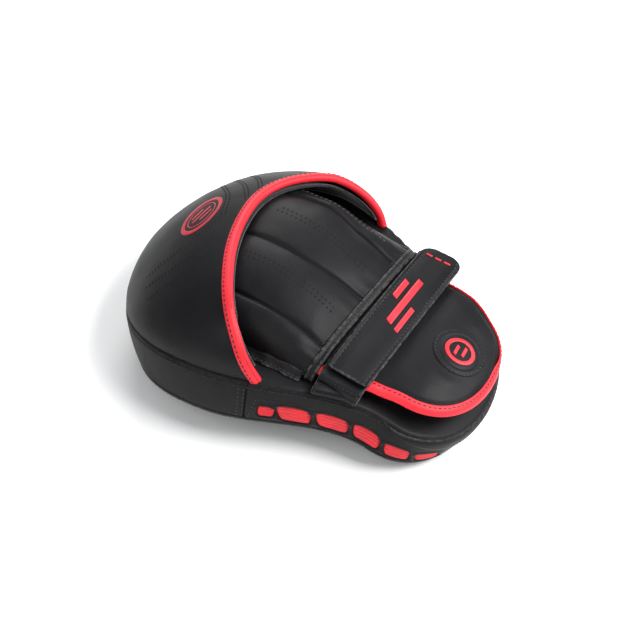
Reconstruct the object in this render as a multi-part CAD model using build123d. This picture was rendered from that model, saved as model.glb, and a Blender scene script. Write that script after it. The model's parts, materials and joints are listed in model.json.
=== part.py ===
"""Curved focus mitt for the left hand, lying strike face down.

+X points to the thumb side, +Y to the fingertips and +Z up, out of the back of the mitt.
The pad is bent about an axis parallel to X that lies below it. Every piece is placed by
three numbers: x across the mitt, s the arc length along the back of the pad from its middle
towards the fingertips, and the lift above the back of the pad, measured away from the bend
axis. A plan outline is a curve in (x, s), and a radial prism carries it through the pad.
"""
from build123d import *
import os
from math import atan, cos, degrees, pi, radians, sin, tan

# ---- driving dimensions, millimetres and degrees ----
FINGER_END = 132.5             # s of the pad's two ends, on the back
WRIST_END = -135.5
BEND_RADIUS = 289.0            # of the back of the pad
PAD_MIDDLE = 33.0              # pad thickness half way along
PAD_TAPER = 3.5                # thicker by this at the fingertips, thinner at the wrist
FINGER_HALF_WIDTH = 95.0
WRIST_HALF_WIDTH = 62.6
FINGER_SHOULDER = 35.0         # s where the rounded finger end starts
WRIST_SHOULDER = -84.5         # s where the rounded wrist end starts
FINGER_ROUNDNESS = 2.35        # superellipse exponents of the two ends
WRIST_ROUNDNESS = 2.0
FLARE_FINGER = 3.0             # strike face outline is larger than the back by this
FLARE_WRIST = 5.0
LEATHER = 2.4                  # side band, with its backing
LAYER_GAP = 0.2                # between the sewn layers of the hood, cover, cuff and strap

# depths of the pad's layers, as fractions of its thickness from the back
BACK_PANEL_DEPTH = 0.06
REAR_FOAM_DEPTH = 0.42
GEL_DEPTH = 0.55
FRONT_FOAM_DEPTH = 0.93

# hood over the fingertips
HOOD_HEIGHT = 49.8
HOOD_CREST = 27.2              # s where the hood starts to fall towards the fingertips
HOOD_FALL = (1.09, 2.06)       # exponents of the falling crest line
HOOD_SECTION = (2.4, 1.6)      # section exponents at the mouth and at the fingertips
HOOD_INSET = 1.5
HOOD_STATIONS = (-10.0, 12.0, 34.0, 56.0, 80.0, 100.0, 114.0, 123.0, 128.0, 130.8)
HOOD_SHELL, HOOD_PADDING, HOOD_LINING = 1.4, 5.6, 1.0
MOUTH_APEX = 47.0              # s of the red bound edge on the centre line
MOUTH_FOOT = -5.0              # s of the same edge at the rim
MOUTH_HALF_WIDTH = 89.0
MOUTH_BACK = -80.0             # s well behind the hood
MOUTH_ROUNDNESS = 1.83
BINDING_WIDTH = 5.5
BINDING_PROUD = 0.7
EMBLEM_AT, EMBLEM_RADIUS, EMBLEM_HOLE = 81.5, 19.0, 15.5
EMBLEM_THICKNESS = 0.5

# quilted cover over the hand
COVER_HALF_WIDTH = 67.5
COVER_STATIONS = (-42.0, -28.0, -10.0, 8.0, 28.0, 46.0, 66.0)
COVER_CROWNS = (16.0, 17.8, 24.0, 29.5, 33.6, 34.6, 30.0)
COVER_SECTION = (2.8, 2.0)     # section exponents at the trim and under the hood
COVER_SHELL, COVER_FOAM, COVER_LINING = 1.4, 5.4, 1.0
COVER_TUCK = 12.0              # how far the cover runs in under the hood
COVER_SEAMS = (47.0, 0.0, -46.0)
SEAM_GAP = 1.0
TRIM_AT, TRIM_SLANT, TRIM_WIDTH = -28.5, -0.09, 6.5
TRIM_PROUD = 1.2

# wrist cuff, which floats above the pad
CUFF_HALF_WIDTH, CUFF_END_HALF_WIDTH = 65.0, 54.0
CUFF_FRONT, CUFF_FRONT_SHOULDER = 10.0, -10.0   # end of the outline under the hand cover
CUFF_SHOULDER, CUFF_TIP = -84.0, -124.5
CUFF_ROUNDNESS = 2.1
CUFF_STATIONS = (-24.0, -36.0, -48.0, -68.0, -80.0, -95.0, -110.0, -127.0)
CUFF_EDGE_LIFTS = (9.0, 9.0, 9.4, 12.5, 15.4, 17.5, 18.0, 17.5)
CUFF_CROWNS = (8.0, 6.0, 4.8, 4.5, 5.0, 6.0, 5.5, 4.0)
CUFF_FLAT = 60.0               # the cuff's section is level beyond this distance from its middle
CUFF_SHELL, CUFF_FOAM, CUFF_LINING = 1.3, 4.4, 1.0
CUFF_HINGE = -71.0             # s of the line where the free end of the cuff lifts
CUFF_HINGE_GAP = 0.4
CUFF_LIFT_MAX = 35.0
HINGE_EASE = 3.0               # extra lean of the cut faces beside a bending line, degrees
BADGE_AT, BADGE_RADIUS, BADGE_THICKNESS = -95.5, 18.0, 1.4

# wrist strap and the two tabs that it joins
STRAP_AT, STRAP_SLANT, STRAP_WIDTH = -51.0, -0.072, 27.6
STRAP_NEAR_END, STRAP_TIP_END = -61.0, 70.0
STRAP_TIP_ROUND = 10.0         # length of the rounded tip
STRAP_STATIONS = (-24.0, -36.0, -48.0, -60.0, -76.0)
STRAP_CLEARANCE = 4.2          # between the cuff and the strap, room for the tabs
STRAP_LINING, STRAP_SHELL = 1.5, 2.2
TIP_HINGE = 18.0               # x of the line where the strap's tip peels up
TIP_PEEL_MAX = 60.0
STRAP_GAP = 0.3                # each side of that line
TAB_THICKNESS = 1.8
TAB_CLEARANCE = 1.1            # between the cuff's bound edge and the tab
TAB_OUTSIDE = 1.8              # how far the tab passes outside the cuff's bound edge
# each tab's side, the x where it ends under the strap, and its s: front edge, middle, back edge
TABS = {"near": (-1, 50.0, (-31.1, -45.6, -60.1)), "far": (1, 34.0, (-40.4, -54.4, -66.4))}

# red ribbed vents in the side bands: (start, end) along s and (top, bottom) depth
VENTS = (((-3.0, -13.0), (0.50, 0.80)), ((-15.0, -37.0), (0.42, 0.86)),
         ((-40.0, -63.0), (0.42, 0.86)), ((-66.0, -87.5), (0.42, 0.86)),
         ((-91.0, -108.0), (0.47, 0.86)), ((-111.5, -124.0), (0.55, 0.86)))
VENT_PROUD = 0.6
VENT_CORNER = 3.4
BAND_SEAM = 6.0                # s of the seam between fingertip band and side bands
HEEL_SEAM = -80.0              # s where the heel band starts
HEEL_SEAM_DEPTHS = (0.04, 0.62)             # its lower edge's depth there and at HEEL_FAR
HEEL_FAR = -150.0              # s beyond the wrist end

PALM_DOME = (28.0, 22.0, 9.0)  # semi-axes of the grip dome under the palm
PALM_DOME_AT = -14.0
PALM_DOME_SUNK = 1.0

# ---- values that follow ----
TAPER_ANGLE = FINGER_END / BEND_RADIUS
FINGER_RADIUS = BEND_RADIUS - PAD_MIDDLE - PAD_TAPER
WRIST_RADIUS = BEND_RADIUS - PAD_MIDDLE + PAD_TAPER
FINGER_ANGLE = (FINGER_END + FLARE_FINGER) / BEND_RADIUS
WRIST_ANGLE = (-WRIST_END + FLARE_WRIST) / BEND_RADIUS
# the pad is tipped so that both ends of the strike face touch the ground
TILT = atan((FINGER_RADIUS * cos(FINGER_ANGLE) - WRIST_RADIUS * cos(WRIST_ANGLE))
            / (FINGER_RADIUS * sin(FINGER_ANGLE) + WRIST_RADIUS * sin(WRIST_ANGLE)))
PLANE_LOW, PLANE_HIGH = 215.0, 370.0        # distances of the prisms' ends above the bend axis
PAD_PLANE_HIGH = BEND_RADIUS + 12
HALF_SPAN = 120.0


def angle_at(s):
    return s / BEND_RADIUS + TILT


def bend(x, s, lift):
    """A point of the mitt, with the bend axis as the origin."""
    radius = BEND_RADIUS + lift
    return Vector(x, radius * sin(angle_at(s)), radius * cos(angle_at(s)))


def thickness(s):
    return PAD_MIDDLE + PAD_TAPER * sin(s / BEND_RADIUS) / sin(TAPER_ANGLE)


def blend(values, stations, s):
    """Piecewise-linear value at s from values at rising or falling stations."""
    pairs = sorted(zip(stations, values))
    if s <= pairs[0][0]:
        return pairs[0][1]
    for (s0, v0), (s1, v1) in zip(pairs, pairs[1:]):
        if s <= s1:
            return v0 + (v1 - v0) * (s - s0) / (s1 - s0)
    return pairs[-1][1]


# ---- plan outlines ----
def plan_side(tip, shoulder, half_width, heel_shoulder, heel_half_width, heel,
              tip_power, heel_power):
    """The near half of an outline, from its fingertip end to its wrist end, as (x, s)."""
    steps = [radians(15 * i) for i in range(7)]
    points = [(-half_width * sin(t) ** (2 / tip_power),
               shoulder + (tip - shoulder) * cos(t) ** (2 / tip_power)) for t in steps]
    for u in (0.25, 0.5, 0.75):
        ease = 3 * u * u - 2 * u ** 3
        points.append((-half_width + (half_width - heel_half_width) * ease,
                       shoulder + (heel_shoulder - shoulder) * u))
    points += [(-heel_half_width * cos(t) ** (2 / heel_power),
                heel_shoulder - (heel_shoulder - heel) * sin(t) ** (2 / heel_power))
               for t in steps]
    points[0], points[-1] = (0.0, points[0][1]), (0.0, points[-1][1])
    return points


def grown(points, growth):
    """Move a near-side outline outwards; growth is a function of s."""
    moved = []
    for i, (x, s) in enumerate(points):
        before, after = points[max(i - 1, 0)], points[min(i + 1, len(points) - 1)]
        if i == 0:
            normal = (0.0, 1.0)
        elif i == len(points) - 1:
            normal = (0.0, -1.0)
        else:
            dx, ds = after[0] - before[0], after[1] - before[1]
            size = (dx * dx + ds * ds) ** 0.5
            normal = (ds / size, -dx / size)
        moved.append((x + normal[0] * growth(s), s + normal[1] * growth(s)))
    return moved


def pad_side(inset=0.0):
    side = plan_side(FINGER_END, FINGER_SHOULDER, FINGER_HALF_WIDTH, WRIST_SHOULDER,
                     WRIST_HALF_WIDTH, WRIST_END, FINGER_ROUNDNESS, WRIST_ROUNDNESS)
    return grown(side, lambda s: -inset)


def half_width(s, side):
    """Half width of an outline at station s, from its near-side points."""
    return -blend([x for x, _ in side], [t for _, t in side], s)


def mirrored(side):
    """A closed outline, as two curves, from its near side."""
    return [side, [(-x, s) for x, s in reversed(side)]]


def flat_face(curves, height):
    """The outline's section by a plane at this height above the bend axis."""
    edges = []
    for points in curves:
        placed = [Vector(x, height * tan(angle_at(s)), height) for x, s in points]
        edges.append(Line(*placed) if len(placed) == 2 else Spline(*placed))
    return Face(Wire(edges))


def radial_prism(curves, low=PLANE_LOW, high=PLANE_HIGH):
    return loft([flat_face(curves, low), flat_face(curves, high)], ruled=True)


def pad_prism(inset=0.0):
    """The pad's side wall, whose strike face edge stands out a little."""
    faces = []
    for height in (PLANE_LOW, PAD_PLANE_HIGH):
        def growth(s, height=height):
            flare = blend((FLARE_WRIST, FLARE_FINGER), (WRIST_END, FINGER_END), s)
            depth = (BEND_RADIUS - height / cos(angle_at(s))) / thickness(s)
            return flare * depth - inset
        faces.append(flat_face(mirrored(grown(pad_side(), growth)), height))
    return loft(faces, ruled=True)


# ---- solids between curved surfaces ----
def bend_cylinder(fraction, extra=0.0):
    """Everything inside the pad's surface at this fraction of its thickness."""
    radius = BEND_RADIUS - PAD_MIDDLE * fraction + extra
    offset = -PAD_TAPER / sin(TAPER_ANGLE) * fraction
    place = Pos(0, offset * cos(TILT), -offset * sin(TILT))
    return place * Rot(0, 90, 0) * Cylinder(radius, 2 * HALF_SPAN)


def depth_shell(top, bottom):
    return bend_cylinder(top) - bend_cylinder(bottom)


def arch(half, crown, power, lift=0.3, count=14):
    """Points (x, lift) of an arch that stands on the pad's back, near side to far side."""
    points = []
    for i in range(count + 1):
        t = pi * i / count
        across, up = -cos(t), sin(t)
        x = half * (abs(across) ** (2 / power)) * (1 if across > 0 else -1)
        height = max(up, 0.0) ** (2 / power)
        points.append((x, lift + crown * height))
    return points


def section(s, upper, lower):
    """Closed face in the radial plane at s, between two lists of (x, lift)."""
    top = [bend(x, s, lift) for x, lift in upper]
    bottom = [bend(x, s, lift) for x, lift in lower]
    return Face(Wire([Spline(*top), Line(top[-1], bottom[-1]), Spline(*reversed(bottom)),
                      Line(bottom[0], top[0])]))


def layer(stations, upper, lower):
    """Solid between two surfaces, each a function of s that gives a section's curve."""
    return loft([section(s, upper(s), lower(s)) for s in stations])


def column(s, radius):
    """Round cutter that stands on the pad's back at s, on the centre line."""
    return Rot(-degrees(angle_at(s)), 0, 0) * Pos(0, 0, BEND_RADIUS + 40) * Cylinder(radius, 160)


def half_space(s, towards_fingers, lean=0.0, pivot_lift=0.0):
    """Block on one side of the radial plane at s, leaning about a line at pivot_lift."""
    size = 400
    sign = 1 if towards_fingers else -1
    block = Pos(0, sign * size / 2, 0) * Box(size, size, size)
    pivot = BEND_RADIUS + pivot_lift
    return Rot(-degrees(angle_at(s)), 0, 0) * Pos(0, 0, pivot) * Rot(lean, 0, 0) * block


# ---- pad ----
def pad_layers():
    core = pad_prism(LEATHER)
    return {
        "strike_face_cover": pad_prism() & depth_shell(FRONT_FOAM_DEPTH, 1.0),
        "front_foam": core & depth_shell(GEL_DEPTH, FRONT_FOAM_DEPTH),
        "gel_sheet": core & depth_shell(REAR_FOAM_DEPTH, GEL_DEPTH),
        "rear_foam": core & depth_shell(BACK_PANEL_DEPTH, REAR_FOAM_DEPTH),
        "back_panel": pad_prism() & depth_shell(0.0, BACK_PANEL_DEPTH),
    }


def wall_point(s, fraction):
    p = bend(0, s, -thickness(s) * fraction)
    return (p.Y, p.Z)


def wall_window(start, end, top, bottom, side, shrink=0.0):
    """Rounded window seen square on from the side, as a cutter through one side wall."""
    corners = [wall_point(start - shrink, top), wall_point(end + shrink, top),
               wall_point(end + shrink, bottom), wall_point(start - shrink, bottom)]
    outline = Plane.YZ * make_face(Polyline(*corners, close=True))
    window = extrude(fillet(outline.vertices(), VENT_CORNER), HALF_SPAN)
    return window if side > 0 else mirror(window, Plane.YZ)


def side_bands():
    """Leather bands round the pad's wall, with the vents set into windows."""
    ring = pad_prism() - pad_prism(LEATHER)
    ring = ring & depth_shell(BACK_PANEL_DEPTH, FRONT_FOAM_DEPTH)
    corners = [wall_point(s, depth) for s, depth in
               zip((HEEL_SEAM, HEEL_FAR, HEEL_FAR, HEEL_SEAM), HEEL_SEAM_DEPTHS + (-1.0, -1.0))]
    heel = Plane.YZ * make_face(Polyline(*corners, close=True))
    heel_cutter = extrude(heel, HALF_SPAN, both=True)
    fingers = half_space(BAND_SEAM, True)
    bands = {"fingertip_side_band": ring & fingers, "heel_band": ring & heel_cutter}
    proud_ring = (pad_prism(-VENT_PROUD) - pad_prism(LEATHER)) \
        & depth_shell(BACK_PANEL_DEPTH, FRONT_FOAM_DEPTH)
    for name, side in (("near", -1), ("far", 1)):
        half = Pos(side * HALF_SPAN, 0, BEND_RADIUS) * Box(2 * HALF_SPAN, 400, 400)
        band = ((ring - fingers) - heel_cutter) & half
        for number, ((start, end), (top, bottom)) in enumerate(VENTS, 1):
            window = wall_window(start, end, top, bottom, side)
            band -= window
            bands[f"{name}_vent_{number}"] = proud_ring & window & half
        bands[f"{name}_side_band"] = band
    return bands


# ---- hood ----
def hood_curve(s, depth):
    side = pad_side()
    fall = max((s - HOOD_CREST) / (FINGER_END - HOOD_CREST), 0.0)
    crown = HOOD_HEIGHT * (1 - fall ** HOOD_FALL[0]) ** (1 / HOOD_FALL[1])
    power = HOOD_SECTION[0] + (HOOD_SECTION[1] - HOOD_SECTION[0]) * fall
    return arch(half_width(s, side) - HOOD_INSET - depth, crown - depth, power)


def mouth_curve(growth=0.0):
    """The hood's bound edge in plan, grown towards the fingertips."""
    half = MOUTH_HALF_WIDTH + growth
    rise = MOUTH_APEX - MOUTH_FOOT + growth
    points = []
    for i in range(13):
        t = pi * i / 12
        across = -cos(t)
        x = half * abs(across) ** (2 / MOUTH_ROUNDNESS) * (1 if across > 0 else -1)
        points.append((x, MOUTH_FOOT + rise * max(sin(t), 0.0) ** (2 / MOUTH_ROUNDNESS)))
    points[0], points[-1] = (-half, MOUTH_FOOT), (half, MOUTH_FOOT)
    return points


def mouth_prism(growth=0.0):
    curve = mouth_curve(growth)
    left, right = curve[0], curve[-1]
    back_left, back_right = (left[0], MOUTH_BACK), (right[0], MOUTH_BACK)
    return radial_prism([curve, [right, back_right], [back_right, back_left], [back_left, left]],
                        low=260.0)


def hood():
    total = HOOD_SHELL + HOOD_PADDING + HOOD_LINING

    def between(outer, inner, stations=HOOD_STATIONS):
        return layer(stations, lambda s: hood_curve(s, outer),
                     lambda s: hood_curve(s, inner - LAYER_GAP))
    opening = mouth_prism(BINDING_WIDTH)
    shell = between(0.0, HOOD_SHELL)
    padding = between(HOOD_SHELL, HOOD_SHELL + HOOD_PADDING)
    open_stations = HOOD_STATIONS[:-1]     # the hood is too low beyond these for a lining
    lining = between(HOOD_SHELL + HOOD_PADDING, total, open_stations)
    edge = between(-BINDING_PROUD, total + BINDING_PROUD, open_stations)
    rim = half_space(MOUTH_FOOT, True)
    emblem = between(-EMBLEM_THICKNESS - LAYER_GAP, 0.0)
    return {
        "hood_shell": shell - opening & rim,
        "hood_padding": padding - opening & rim,
        "hood_lining": lining - opening & rim,
        "hood_binding": edge & opening - mouth_prism() & rim,
        "hood_emblem": emblem & column(EMBLEM_AT, EMBLEM_RADIUS)
        - column(EMBLEM_AT, EMBLEM_HOLE),
    }


# ---- hand cover ----
def cover_curve(s, depth):
    crown = blend(COVER_CROWNS, COVER_STATIONS, s)
    power = blend(COVER_SECTION, (TRIM_AT, TRIM_AT + 60), s)
    return arch(COVER_HALF_WIDTH - depth, crown - depth, power)


def trim_line(shift=0.0):
    ends = (-HALF_SPAN, HALF_SPAN)
    return [(x, TRIM_AT + TRIM_SLANT * x + shift) for x in ends]


def slanted_strip(front, back):
    """Radial prism between two slanted lines, each given near side to far side."""
    return radial_prism([front, [front[1], back[1]], [back[1], back[0]], [back[0], front[0]]],
                        low=250.0)


def hand_cover():
    def between(outer, inner):
        return layer(COVER_STATIONS, lambda s: cover_curve(s, outer),
                     lambda s: cover_curve(s, inner - LAYER_GAP))
    far_front = [(-HALF_SPAN, 120.0), (HALF_SPAN, 120.0)]
    quilted = slanted_strip(far_front, trim_line()) & mouth_prism(COVER_TUCK)
    foam_start = COVER_SHELL
    foam_end = COVER_SHELL + COVER_FOAM
    total = foam_end + COVER_LINING
    pieces = {"hand_cover_shell": between(0, foam_start) & quilted,
              "hand_cover_lining": between(foam_end, total) & quilted}
    foam = between(foam_start, foam_end) & quilted
    edges = (HALF_SPAN,) + COVER_SEAMS + (-HALF_SPAN,)
    for number, (far, near) in enumerate(zip(edges, edges[1:]), 1):
        width = far - near - SEAM_GAP
        strip = Pos((far + near) / 2, 0, BEND_RADIUS) * Box(width, 400, 200)
        pieces[f"hand_cover_foam_{number}"] = foam & strip
    band = slanted_strip(trim_line(), trim_line(-TRIM_WIDTH))
    pieces["hand_cover_trim"] = between(-TRIM_PROUD, total) & band
    return pieces


# ---- cuff ----
def cuff_top_at(x, s):
    """Lift of the cuff's upper surface."""
    edge = blend(CUFF_EDGE_LIFTS, CUFF_STATIONS, s)
    crown = blend(CUFF_CROWNS, CUFF_STATIONS, s)
    return edge + crown * (1 - min(abs(x) / CUFF_FLAT, 1.0) ** 2)


def cuff_top(s, extra=0.0):
    """The cuff's upper surface, raised by extra."""
    reach = CUFF_FLAT * 4 / 3
    points = []
    for i in range(9):
        x = reach * (i / 4 - 1)
        points.append((x, cuff_top_at(x, s) + extra))
    return points


def cuff_side(inset=0.0):
    side = plan_side(CUFF_FRONT, CUFF_FRONT_SHOULDER, CUFF_HALF_WIDTH, CUFF_SHOULDER,
                     CUFF_END_HALF_WIDTH, CUFF_TIP, CUFF_ROUNDNESS, CUFF_ROUNDNESS)
    return grown(side, lambda s: -inset)


def plate(bottom, top, stations=CUFF_STATIONS):
    """Slab that follows the cuff's upper surface, between two distances from it."""
    return layer(stations, lambda s: cuff_top(s, top), lambda s: cuff_top(s, bottom + LAYER_GAP))


def cuff():
    behind_trim = slanted_strip(trim_line(-TRIM_WIDTH), [(-HALF_SPAN, HEEL_FAR),
                                                         (HALF_SPAN, HEEL_FAR)])
    outline = radial_prism(mirrored(cuff_side(BINDING_WIDTH)), low=260.0) & behind_trim
    rim = (radial_prism(mirrored(cuff_side()), low=260.0) & behind_trim) - outline
    total = CUFF_SHELL + CUFF_FOAM + CUFF_LINING
    gap = CUFF_HINGE_GAP
    fixed = half_space(CUFF_HINGE + gap, True)
    free = half_space(CUFF_HINGE - gap, False) & half_space(
        CUFF_HINGE - gap, False, -CUFF_LIFT_MAX - HINGE_EASE, cuff_top_at(0, CUFF_HINGE))
    slabs = {"shell": (plate(-CUFF_SHELL, 0.0), outline),
             "foam": (plate(-CUFF_SHELL - CUFF_FOAM, -CUFF_SHELL), outline),
             "lining": (plate(-total, -CUFF_SHELL - CUFF_FOAM), outline),
             "binding": (plate(-total - BINDING_PROUD, BINDING_PROUD), rim)}
    pieces = {}
    for name, (slab, plan) in slabs.items():
        whole = slab & plan
        pieces[f"cuff_root_{name}"] = whole & fixed
        pieces[f"cuff_{name}"] = whole & free
    pieces["cuff_badge"] = plate(0.0, BADGE_THICKNESS) & column(BADGE_AT, BADGE_RADIUS)
    return pieces


# ---- strap ----
def strap_plan(near, far, rounded):
    """The strap in plan: a slanted band with a square or a rounded far end."""
    half = STRAP_WIDTH / 2

    def edge(x, side):
        return (x, STRAP_AT + STRAP_SLANT * x + side * half)
    if not rounded:
        corners = [edge(near, 1), edge(far, 1), edge(far, -1), edge(near, -1)]
        return [[a, b] for a, b in zip(corners, corners[1:] + corners[:1])]
    shoulder = far - STRAP_TIP_ROUND
    middle = STRAP_AT + STRAP_SLANT * far
    tip = [(shoulder + STRAP_TIP_ROUND * sin(pi * i / 8) ** 0.8, middle + half * cos(pi * i / 8))
           for i in range(9)]
    tip[0], tip[-1] = edge(shoulder, 1), edge(shoulder, -1)
    return [[edge(near, 1), tip[0]], tip, [tip[-1], edge(near, -1)],
            [edge(near, -1), edge(near, 1)]]


def across_plane(x, lift, lean, far_side):
    """Block on one side of a plane across the strap, leaning about a line along s."""
    size = 300
    sign = 1 if far_side else -1
    block = Pos(sign * size / 2, 0, 0) * Box(size, size, size)
    middle = STRAP_AT + STRAP_SLANT * x
    turn = Rot(-degrees(angle_at(middle)), 0, 0)
    return turn * Pos(x, 0, BEND_RADIUS + lift) * Rot(0, lean, 0) * block


def strap_top(x, s):
    return cuff_top_at(x, s) + STRAP_CLEARANCE + STRAP_LINING + STRAP_SHELL


def strap():
    under, over = STRAP_CLEARANCE, STRAP_CLEARANCE + STRAP_LINING
    lining = plate(under, over, STRAP_STATIONS)
    shell = plate(over, over + STRAP_SHELL, STRAP_STATIONS)
    plan = radial_prism(strap_plan(STRAP_NEAR_END, STRAP_TIP_END, True), low=260.0)
    gap = STRAP_GAP
    near = across_plane(TIP_HINGE - gap, 0, 0, False)
    tip = across_plane(TIP_HINGE + gap, 0, 0, True) & across_plane(
        TIP_HINGE + gap, strap_top(TIP_HINGE, STRAP_AT), -TIP_PEEL_MAX - HINGE_EASE, True)
    return {"strap_shell": shell & plan & near, "strap_lining": lining & plan & near,
            "strap_tip_shell": shell & plan & tip, "strap_tip_hook_tape": lining & plan & tip}


def tab_curve(s, side, offset, reach):
    """The tab from the pad's rim, round the cuff's bound edge and in under the strap."""
    rim = half_width(s, pad_side())
    corner = CUFF_HALF_WIDTH + BINDING_PROUD
    edge = cuff_top_at(corner, s) + BINDING_PROUD
    outside = corner + TAB_OUTSIDE
    # each point of the inner surface, with the direction the tab's thickness goes in
    route = [((rim - 2.5, 0.4), (1, 0)), ((max(rim - 1.0, outside), 4.5), (1, 0)),
             ((outside - 0.5, edge - 4.0), (0.95, 0.3)), ((corner + 0.3, edge), (0.7, 0.7)),
             ((corner - 4.2, edge + 0.4), (0, 1))]
    route += [((x, cuff_top_at(x, s) + TAB_CLEARANCE), (0, 1)) for x in (reach + 8, reach)]
    return [(side * (x + dx * offset), lift + dh * offset) for (x, lift), (dx, dh) in route]


def tabs():
    pieces = {}
    for name, (side, reach, stations) in TABS.items():
        pieces[f"{name}_strap_tab"] = layer(
            stations, lambda s: tab_curve(s, side, TAB_THICKNESS, reach),
            lambda s: tab_curve(s, side, 0.0, reach))
    return pieces


def palm_dome():
    across, along, high = PALM_DOME
    dome = scale(Sphere(1.0), by=(across, along, high))
    lifted = Pos(0, 0, BEND_RADIUS - PALM_DOME_SUNK) * dome
    clear_of_back = bend_cylinder(0.0, LAYER_GAP / 4)
    return Rot(-degrees(angle_at(PALM_DOME_AT)), 0, 0) * lifted - clear_of_back


def show_axis(name, start, end, origin):
    """Print a joint's axis in metres: a point on it and its direction."""
    start, end = [(origin * Pos(*point)).position for point in (start, end)]
    print(name, [round(v / 1000, 5) for v in start], [round(v, 5) for v in (end - start).normalized()])


def main():
    pieces = {}
    for group in (pad_layers, side_bands, hood, hand_cover, cuff, strap, tabs):
        pieces.update(group())
    pieces["palm_dome"] = palm_dome()
    boxes = [shape.bounding_box() for shape in pieces.values()]
    low = [min(getattr(b.min, axis) for b in boxes) for axis in "XYZ"]
    high = [max(getattr(b.max, axis) for b in boxes) for axis in "XYZ"]
    origin = Pos(-(low[0] + high[0]) / 2, -(low[1] + high[1]) / 2, -low[2])
    print("size", [round(h - l, 2) for l, h in zip(low, high)])
    print("bend axis", [round(v / 1000, 6) for v in origin.position], "tilt", round(TILT, 6))
    hinge = bend(0, CUFF_HINGE, cuff_top_at(0, CUFF_HINGE))
    show_axis("cuff_lift", hinge, hinge - Vector(1, 0, 0), origin)
    near_under = [bend(STRAP_NEAR_END, s, cuff_top_at(STRAP_NEAR_END, s) + STRAP_CLEARANCE)
                  for s in (-33.0, -60.0)]
    show_axis("strap_swing", near_under[0], near_under[1], origin)
    tip_top = [bend(TIP_HINGE, s, strap_top(TIP_HINGE, s)) for s in (-38.0, -65.0)]
    show_axis("strap_tip_peel", tip_top[0], tip_top[1], origin)
    os.makedirs("parts", exist_ok=True)
    for name, shape in pieces.items():
        export_step(origin * shape, f"parts/{name}.step")


main()
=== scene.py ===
"""Looks of the curved focus mitt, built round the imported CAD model.

Lengths are in millimetres until bend() turns them into row-frame metres. A place on the mitt is
(x, s, lift): across, along the back of the pad towards the fingertips, and above that back.
"""
import bmesh
import bpy
import json
import math
import numpy as np
from mathutils import Matrix, Vector, noise


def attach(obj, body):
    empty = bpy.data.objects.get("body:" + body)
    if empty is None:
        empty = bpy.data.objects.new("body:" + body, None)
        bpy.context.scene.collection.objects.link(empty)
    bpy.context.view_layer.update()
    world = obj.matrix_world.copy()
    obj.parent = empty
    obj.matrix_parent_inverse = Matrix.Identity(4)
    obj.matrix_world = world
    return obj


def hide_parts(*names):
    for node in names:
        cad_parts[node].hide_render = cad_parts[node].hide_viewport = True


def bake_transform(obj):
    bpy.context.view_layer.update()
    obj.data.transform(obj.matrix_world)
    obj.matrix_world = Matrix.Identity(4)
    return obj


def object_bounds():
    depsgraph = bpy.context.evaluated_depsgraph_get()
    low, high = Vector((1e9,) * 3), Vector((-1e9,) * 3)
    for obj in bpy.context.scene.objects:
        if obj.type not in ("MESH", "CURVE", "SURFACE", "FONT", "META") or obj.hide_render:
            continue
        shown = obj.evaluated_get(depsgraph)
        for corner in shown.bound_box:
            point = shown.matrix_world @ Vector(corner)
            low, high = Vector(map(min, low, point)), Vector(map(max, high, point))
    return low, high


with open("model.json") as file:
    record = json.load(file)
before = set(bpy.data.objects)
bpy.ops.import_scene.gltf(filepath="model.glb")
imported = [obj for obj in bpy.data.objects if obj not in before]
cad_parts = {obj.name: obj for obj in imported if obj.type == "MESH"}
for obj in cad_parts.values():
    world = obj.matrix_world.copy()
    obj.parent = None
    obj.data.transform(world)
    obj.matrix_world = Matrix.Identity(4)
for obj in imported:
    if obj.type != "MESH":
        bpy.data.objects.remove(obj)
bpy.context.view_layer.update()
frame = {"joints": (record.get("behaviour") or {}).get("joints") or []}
MM = 0.001

# ---- the CAD model's dimensions ----
FINGER_END, WRIST_END = 132.5, -135.5
BEND_RADIUS = 289.0
PAD_MIDDLE, PAD_TAPER = 33.0, 3.5
FINGER_HALF, WRIST_HALF = 95.0, 62.6
FINGER_SHOULDER, WRIST_SHOULDER = 35.0, -84.5
FINGER_POWER, WRIST_POWER = 2.35, 2.0
FLARE_FINGER, FLARE_WRIST = 3.0, 5.0
BACK_DEPTH, FACE_DEPTH = 0.06, 0.93
HOOD_HEIGHT, HOOD_CREST = 49.8, 27.2
HOOD_FALL, HOOD_SECTION = (1.09, 2.06), (2.4, 1.6)
HOOD_INSET = 1.5
HOOD_THICKNESS = 8.0
COVER_HALF = 67.5
COVER_STATIONS = (-42.0, -28.0, -10.0, 8.0, 28.0, 46.0, 66.0)
COVER_CROWNS = (16.0, 17.8, 24.0, 29.5, 33.6, 34.6, 30.0)
COVER_SECTION = (2.8, 2.0)
COVER_TUCK = 12.0
TRIM_AT, TRIM_SLANT, TRIM_WIDTH = -28.5, -0.09, 6.5
CUFF_HALF, CUFF_END_HALF = 65.0, 54.0
CUFF_FRONT_SHOULDER, CUFF_SHOULDER, CUFF_TIP, CUFF_POWER = -10.0, -84.0, -124.5, 2.1
CUFF_STATIONS = (-24.0, -36.0, -48.0, -68.0, -80.0, -95.0, -110.0, -127.0)
CUFF_EDGES = (9.0, 9.0, 9.4, 12.5, 15.4, 17.5, 18.0, 17.5)
CUFF_CROWNS = (8.0, 6.0, 4.8, 4.5, 5.0, 6.0, 5.5, 4.0)
CUFF_FLAT, CUFF_THICKNESS = 60.0, 6.7
CUFF_HINGE = -71.0
BADGE_AT, BADGE_RADIUS = -95.5, 18.0
STRAP_AT, STRAP_SLANT, STRAP_WIDTH = -51.0, -0.072, 27.6
STRAP_NEAR, STRAP_TIP, STRAP_ROUND = -61.0, 70.0, 10.0
STRAP_CLEARANCE, STRAP_LINING, STRAP_SHELL = 4.2, 1.5, 2.2
TIP_HINGE = 18.0
TAB_THICKNESS = 1.8
BINDING_PROUD = 0.7
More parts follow.
